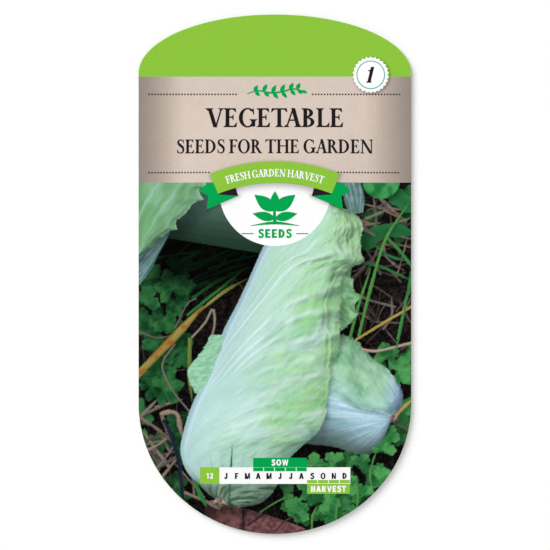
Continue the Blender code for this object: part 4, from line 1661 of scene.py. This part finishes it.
def ribbon_print(letters, white):
    tails = [(-22.2, 30.1), (-25.0, 27.5), (-21.9, 25.8), TAIL_EDGE[1], TAIL_EDGE[0], (-15.0, 30.1)]
    folds = [(-19.0, 26.3), (-13.2, 29.4), (-12.1, 25.8)]
    lay_polygons("ribbon_tails", both_sides(tails), 2, ink("ink_deep_green", DEEP_GREEN))
    lay_polygons("ribbon_folds", both_sides(folds), 3, ink("ink_fold", FOLD_BLACK))
    band = ring_band(RING_INNER, RING_OUTER, RING_TURN)
    lay_polygons("ribbon_band", [band], 4, ink("ink_leaf_green", LEAF_GREEN))
    line = serif_line("FRESH GARDEN HARVEST", letters, 2.45, 32.0)
    lay_polygons("ribbon_text", [on_ring(p, 52.3) for p in line], 5, white)


DISC_Y = 27.7
DISC_RADIUS = 18.4
DISC_TURNS = (176, 364)
DISC_TOP_RADIUS = 52.0
DISC_TOP_TURN = 20.4


def emblem_disc():
    """The white disc below the ribbon, with the ribbon's printed shadow on it."""
    turns = np.radians(np.linspace(*DISC_TURNS, 120))
    top_turns = np.radians(np.linspace(-DISC_TOP_TURN, DISC_TOP_TURN, 120))
    share = np.linspace(0, 1, 60)[:, None]
    x = DISC_TOP_RADIUS * np.sin(top_turns) * (1 - share) + DISC_RADIUS * np.cos(turns) * share
    top_y = RING_Y + DISC_TOP_RADIUS * np.cos(top_turns)
    y = top_y * (1 - share) + (DISC_Y + DISC_RADIUS * np.sin(turns)) * share
    depth = np.maximum(RING_INNER - np.hypot(x, y - RING_Y), 0)
    side = rise(np.abs(x), 9, 8)
    light = 1 - (0.46 + 0.14 * side) * near(depth, 1.7 + 1.0 * side)
    light = light * (1 - tail_shadow(x, y))
    z = front_height(x, y, PAPER_TOP + ZONE_INK + LAYER_STEP)
    points = np.stack([x, y, z], axis=-1).reshape(-1, 3)
    obj = mesh_object("emblem_disc", points, grid_quads(*x.shape)[:, ::-1])
    store_colours(obj, (linear(WHITE) * grey(light)).reshape(-1, 3))
    flat_uv(obj)
    add_piece(obj, picture_ink("ink_disc"))


def emblem(green):
    """A plain sprout over two ground lines, with a generic word."""
    shapes = [brush([(0, 16.9), (-0.15, 20.0), (0.1, 22.9)], [1.2, 1.0, 0.6], 20)]
    for foot, angle, length, wide in ((20.9, 38, 8.6, 4.2), (18.3, 13, 7.6, 3.0), (21.8, 90, 5.6, 2.9)):
        shapes.append(leaf_shape(0, foot, length, wide, math.radians(angle)))
        shapes.append(leaf_shape(0, foot, length, wide, math.radians(180 - angle)))
    lay_polygons("emblem_sprout", shapes, 3, green)
    ground = [brush([(-8.0, 16.0), (0, 16.9), (8.0, 16.0)], [0.2, 1.0, 0.2], 24)]
    ground += [box(-11.0, -7.0, 13.2, 13.55), box(7.0, 11.0, 13.2, 13.55)]
    lay_polygons("emblem_lines", ground, 2, green)
    lay_polygons("emblem_text", sans_line("SEEDS", 0, 13.4, 2.9), 2, green)


BOX_X = -24.7
STRIP_X = -18.3
STRIP_END = 24.9
STRIP_LOW, STRIP_HIGH = -69.2, -63.7
MONTHS = "JFMAMJJASOND"
MONTH_CAP = 2.0
MONTH_FIRST = -16.2
MONTH_PITCH = 3.564
SOW = (3, 8)
HARVEST = (8, 12)


def month_edge(k):
    return MONTH_FIRST + (k - 0.5) * MONTH_PITCH


def calendar(white, black, green, leaf):
    """The year's strip, with bars for sowing and harvest."""
    lay_polygons("calendar_strip", [box(STRIP_X, STRIP_END, STRIP_LOW, STRIP_HIGH)], 1, white)
    lay_polygons("calendar_box", [box(BOX_X, STRIP_X, STRIP_LOW, STRIP_HIGH)], 1, leaf)
    middle = (STRIP_LOW + STRIP_HIGH) / 2
    marks = []
    for k, month in enumerate(MONTHS):
        marks += sans_line(month, MONTH_FIRST + k * MONTH_PITCH, middle - 0.12, MONTH_CAP)
    lay_polygons("calendar_months", marks, 2, black)
    for name, (first, last), y0, y1, dash, ink_used, word in (
        ("sow", SOW, STRIP_HIGH + 0.05, -60.5, (-65.0, -63.75), green, "SOW"),
        ("harvest", HARVEST, -72.5, STRIP_LOW - 0.05, (-69.0, -67.9), leaf, "HARVEST"),
    ):
        start, end = month_edge(first) + 0.1, month_edge(last) - 0.05
        bar = [box(start, end, y0, y1)]
        step = (end - start + 0.25) / (last - first)
        bar += [box(start + k * step, start + (k + 1) * step - 0.25, *dash) for k in range(last - first)]
        lay_polygons(f"calendar_{name}", bar, 2, ink_used)
        letters = sans_line(word, (start + end) / 2, (y0 + y1) / 2, MONTH_CAP)
        lay_polygons(f"calendar_{name}_word", letters, 3, white)
    number = sans_line("12", (BOX_X + STRIP_X) / 2, middle - 0.1, 1.8)
    lay_polygons("calendar_number", number, 2, white)


def print_front(step):
    letters = serif_letters()
    white = ink("ink_white", WHITE, 0.012)
    black = ink("ink_black", INK_BLACK)
    green = ink("ink_green", DEEP_GREEN)
    leaf = ink("ink_bar_green", LEAF_GREEN)
    print_zones(step)
    badge(letters, white, black)
    dotted_rules(black)
    sprig(green)
    titles(letters, black)
    ribbon_print(letters, white)
    emblem_disc()
    emblem(green)
    calendar(white, black, green, leaf)


# ---------------------------------------------------------------- the back


BACK_PITCH = 0.9
BACK_BROWN = (110, 96, 84)


def print_back():
    """A green cap and plain rules where a back has its directions."""
    green = ink("ink_back_green", LEAF_GREEN, roughness=0.6)
    brown = ink("ink_back_brown", BACK_BROWN, roughness=0.6)
    y = packet_rows(CAP_Y, LENGTH / 2 - 0.3, 1.0)
    edge = half_width(y)
    cap = [*zip(edge, y), *zip(-edge[::-1], y[::-1])]
    lay_polygons("back_cap", [cap], 2, green, pitch=BACK_PITCH, underside=True)
    rules = []
    for block, (top, lines, reach) in enumerate(((54, 3, 24), (40, 9, 33), (6, 8, 33), (-30, 6, 30))):
        for k in range(lines):
            short = 0.55 if k == lines - 1 else 1.0 - 0.07 * ((k * 7 + block) % 3)
            at = top - 3.4 * k
            rules.append(box(-reach, -reach + 2 * reach * short, at - 0.3, at + 0.3))
    lay_polygons("back_rules", rules, 2, brown, pitch=BACK_PITCH, underside=True)
    frame_lines = [box(-30, 30, -56.2, -55.9), box(-30, 30, -64.2, -63.9)]
    frame_lines += [box(-30 + 5 * k, -29.75 + 5 * k, -64.1, -56.0) for k in range(13)]
    lay_polygons("back_table", frame_lines, 2, brown, pitch=BACK_PITCH, underside=True)


# ---------------------------------------------------------------- light, floor and camera


SKY = 0.555
KEY = 1.845
KEY_TILT = math.radians(52)
KEY_TURN = math.radians(42)
KEY_SPREAD = math.radians(38)
FILL = 0.305
FILL_TILT = math.radians(12)
FLOOR_SIZE = 6.0
FLOOR_DROP = 0.1 * MM


def sun(name, strength, tilt, turn, angle):
    """A distant lamp; turn runs from +Y towards -X, so a positive one lights from the upper left."""
    data = bpy.data.lights.new(name, "SUN")
    data.energy = strength
    data.angle = angle
    lamp = bpy.data.objects.new(name, data)
    lamp.rotation_euler = (-tilt, 0.0, turn)
    bpy.context.scene.collection.objects.link(lamp)


def studio():
    """The floor, the suns and the sky."""
    world = bpy.data.worlds.new("studio")
    world.use_nodes = True
    bpy.context.scene.world = world
    background = world.node_tree.nodes["Background"]
    background.inputs["Color"].default_value = (1.0, 1.0, 1.0, 1.0)
    background.inputs["Strength"].default_value = SKY
    sun("key", KEY, KEY_TILT, KEY_TURN, KEY_SPREAD)
    sun("fill", FILL, FILL_TILT, KEY_TURN, KEY_SPREAD)

    material, _, shader = shader_tree("studio_floor", 0.9, 0.0)
    shader.inputs["Base Color"].default_value = (1.0, 1.0, 1.0, 1.0)
    bpy.ops.mesh.primitive_plane_add(size=FLOOR_SIZE, location=(0, 0, -FLOOR_DROP))
    floor = bpy.context.object
    floor.name = "floor"
    floor.data.materials.append(material)


LENS = 135.0
SENSOR = 36.0
FRAME_WIDTH = 181.5 * MM
FRAME_X = 0.03 * MM
FRAME_Y = -0.25 * MM


def camera():
    """The camera, straight above the packet."""
    data = bpy.data.cameras.new("camera")
    data.lens = LENS
    data.sensor_width = SENSOR
    eye = bpy.data.objects.new("camera", data)
    eye.location = (FRAME_X, FRAME_Y, FRAME_WIDTH * LENS / SENSOR + 2 * MM)
    bpy.context.scene.collection.objects.link(eye)
    bpy.context.scene.camera = eye
    bpy.context.scene.view_settings.view_transform = "Standard"


# ---------------------------------------------------------------- the whole packet


def inside(nodes):
    """Materials for the CAD pieces between the sheets."""
    glue = film("dried_glue", (226, 219, 190), 0.5)
    glassine = film("glassine_web", (216, 210, 186), 0.38)
    seed = seed_coat()
    for name, node in nodes.items():
        if name.startswith("seed"):
            node.material_slots[0].material = seed
        elif name.endswith("glue"):
            node.material_slots[0].material = glue
        elif name.startswith("pouch"):
            node.material_slots[0].material = glassine


PICTURE_STEP = 0.28


def main():
    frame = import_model()
    camera()
    studio()
    inside(frame["nodes"])
    coated = plain_paper("coated_paper_core", (244, 242, 236), 0.5, 0.012)
    back = plain_paper("back_paper_plain", (238, 234, 224), 0.62)
    paper_shell("front_paper", front_height, 0.0, PAPER_TOP, coated, "front_sheet")
    paper_shell("back_paper", back_height, SHEET, 0.0, back, "back_sheet")
    print_front(PICTURE_STEP)
    print_back()


main()
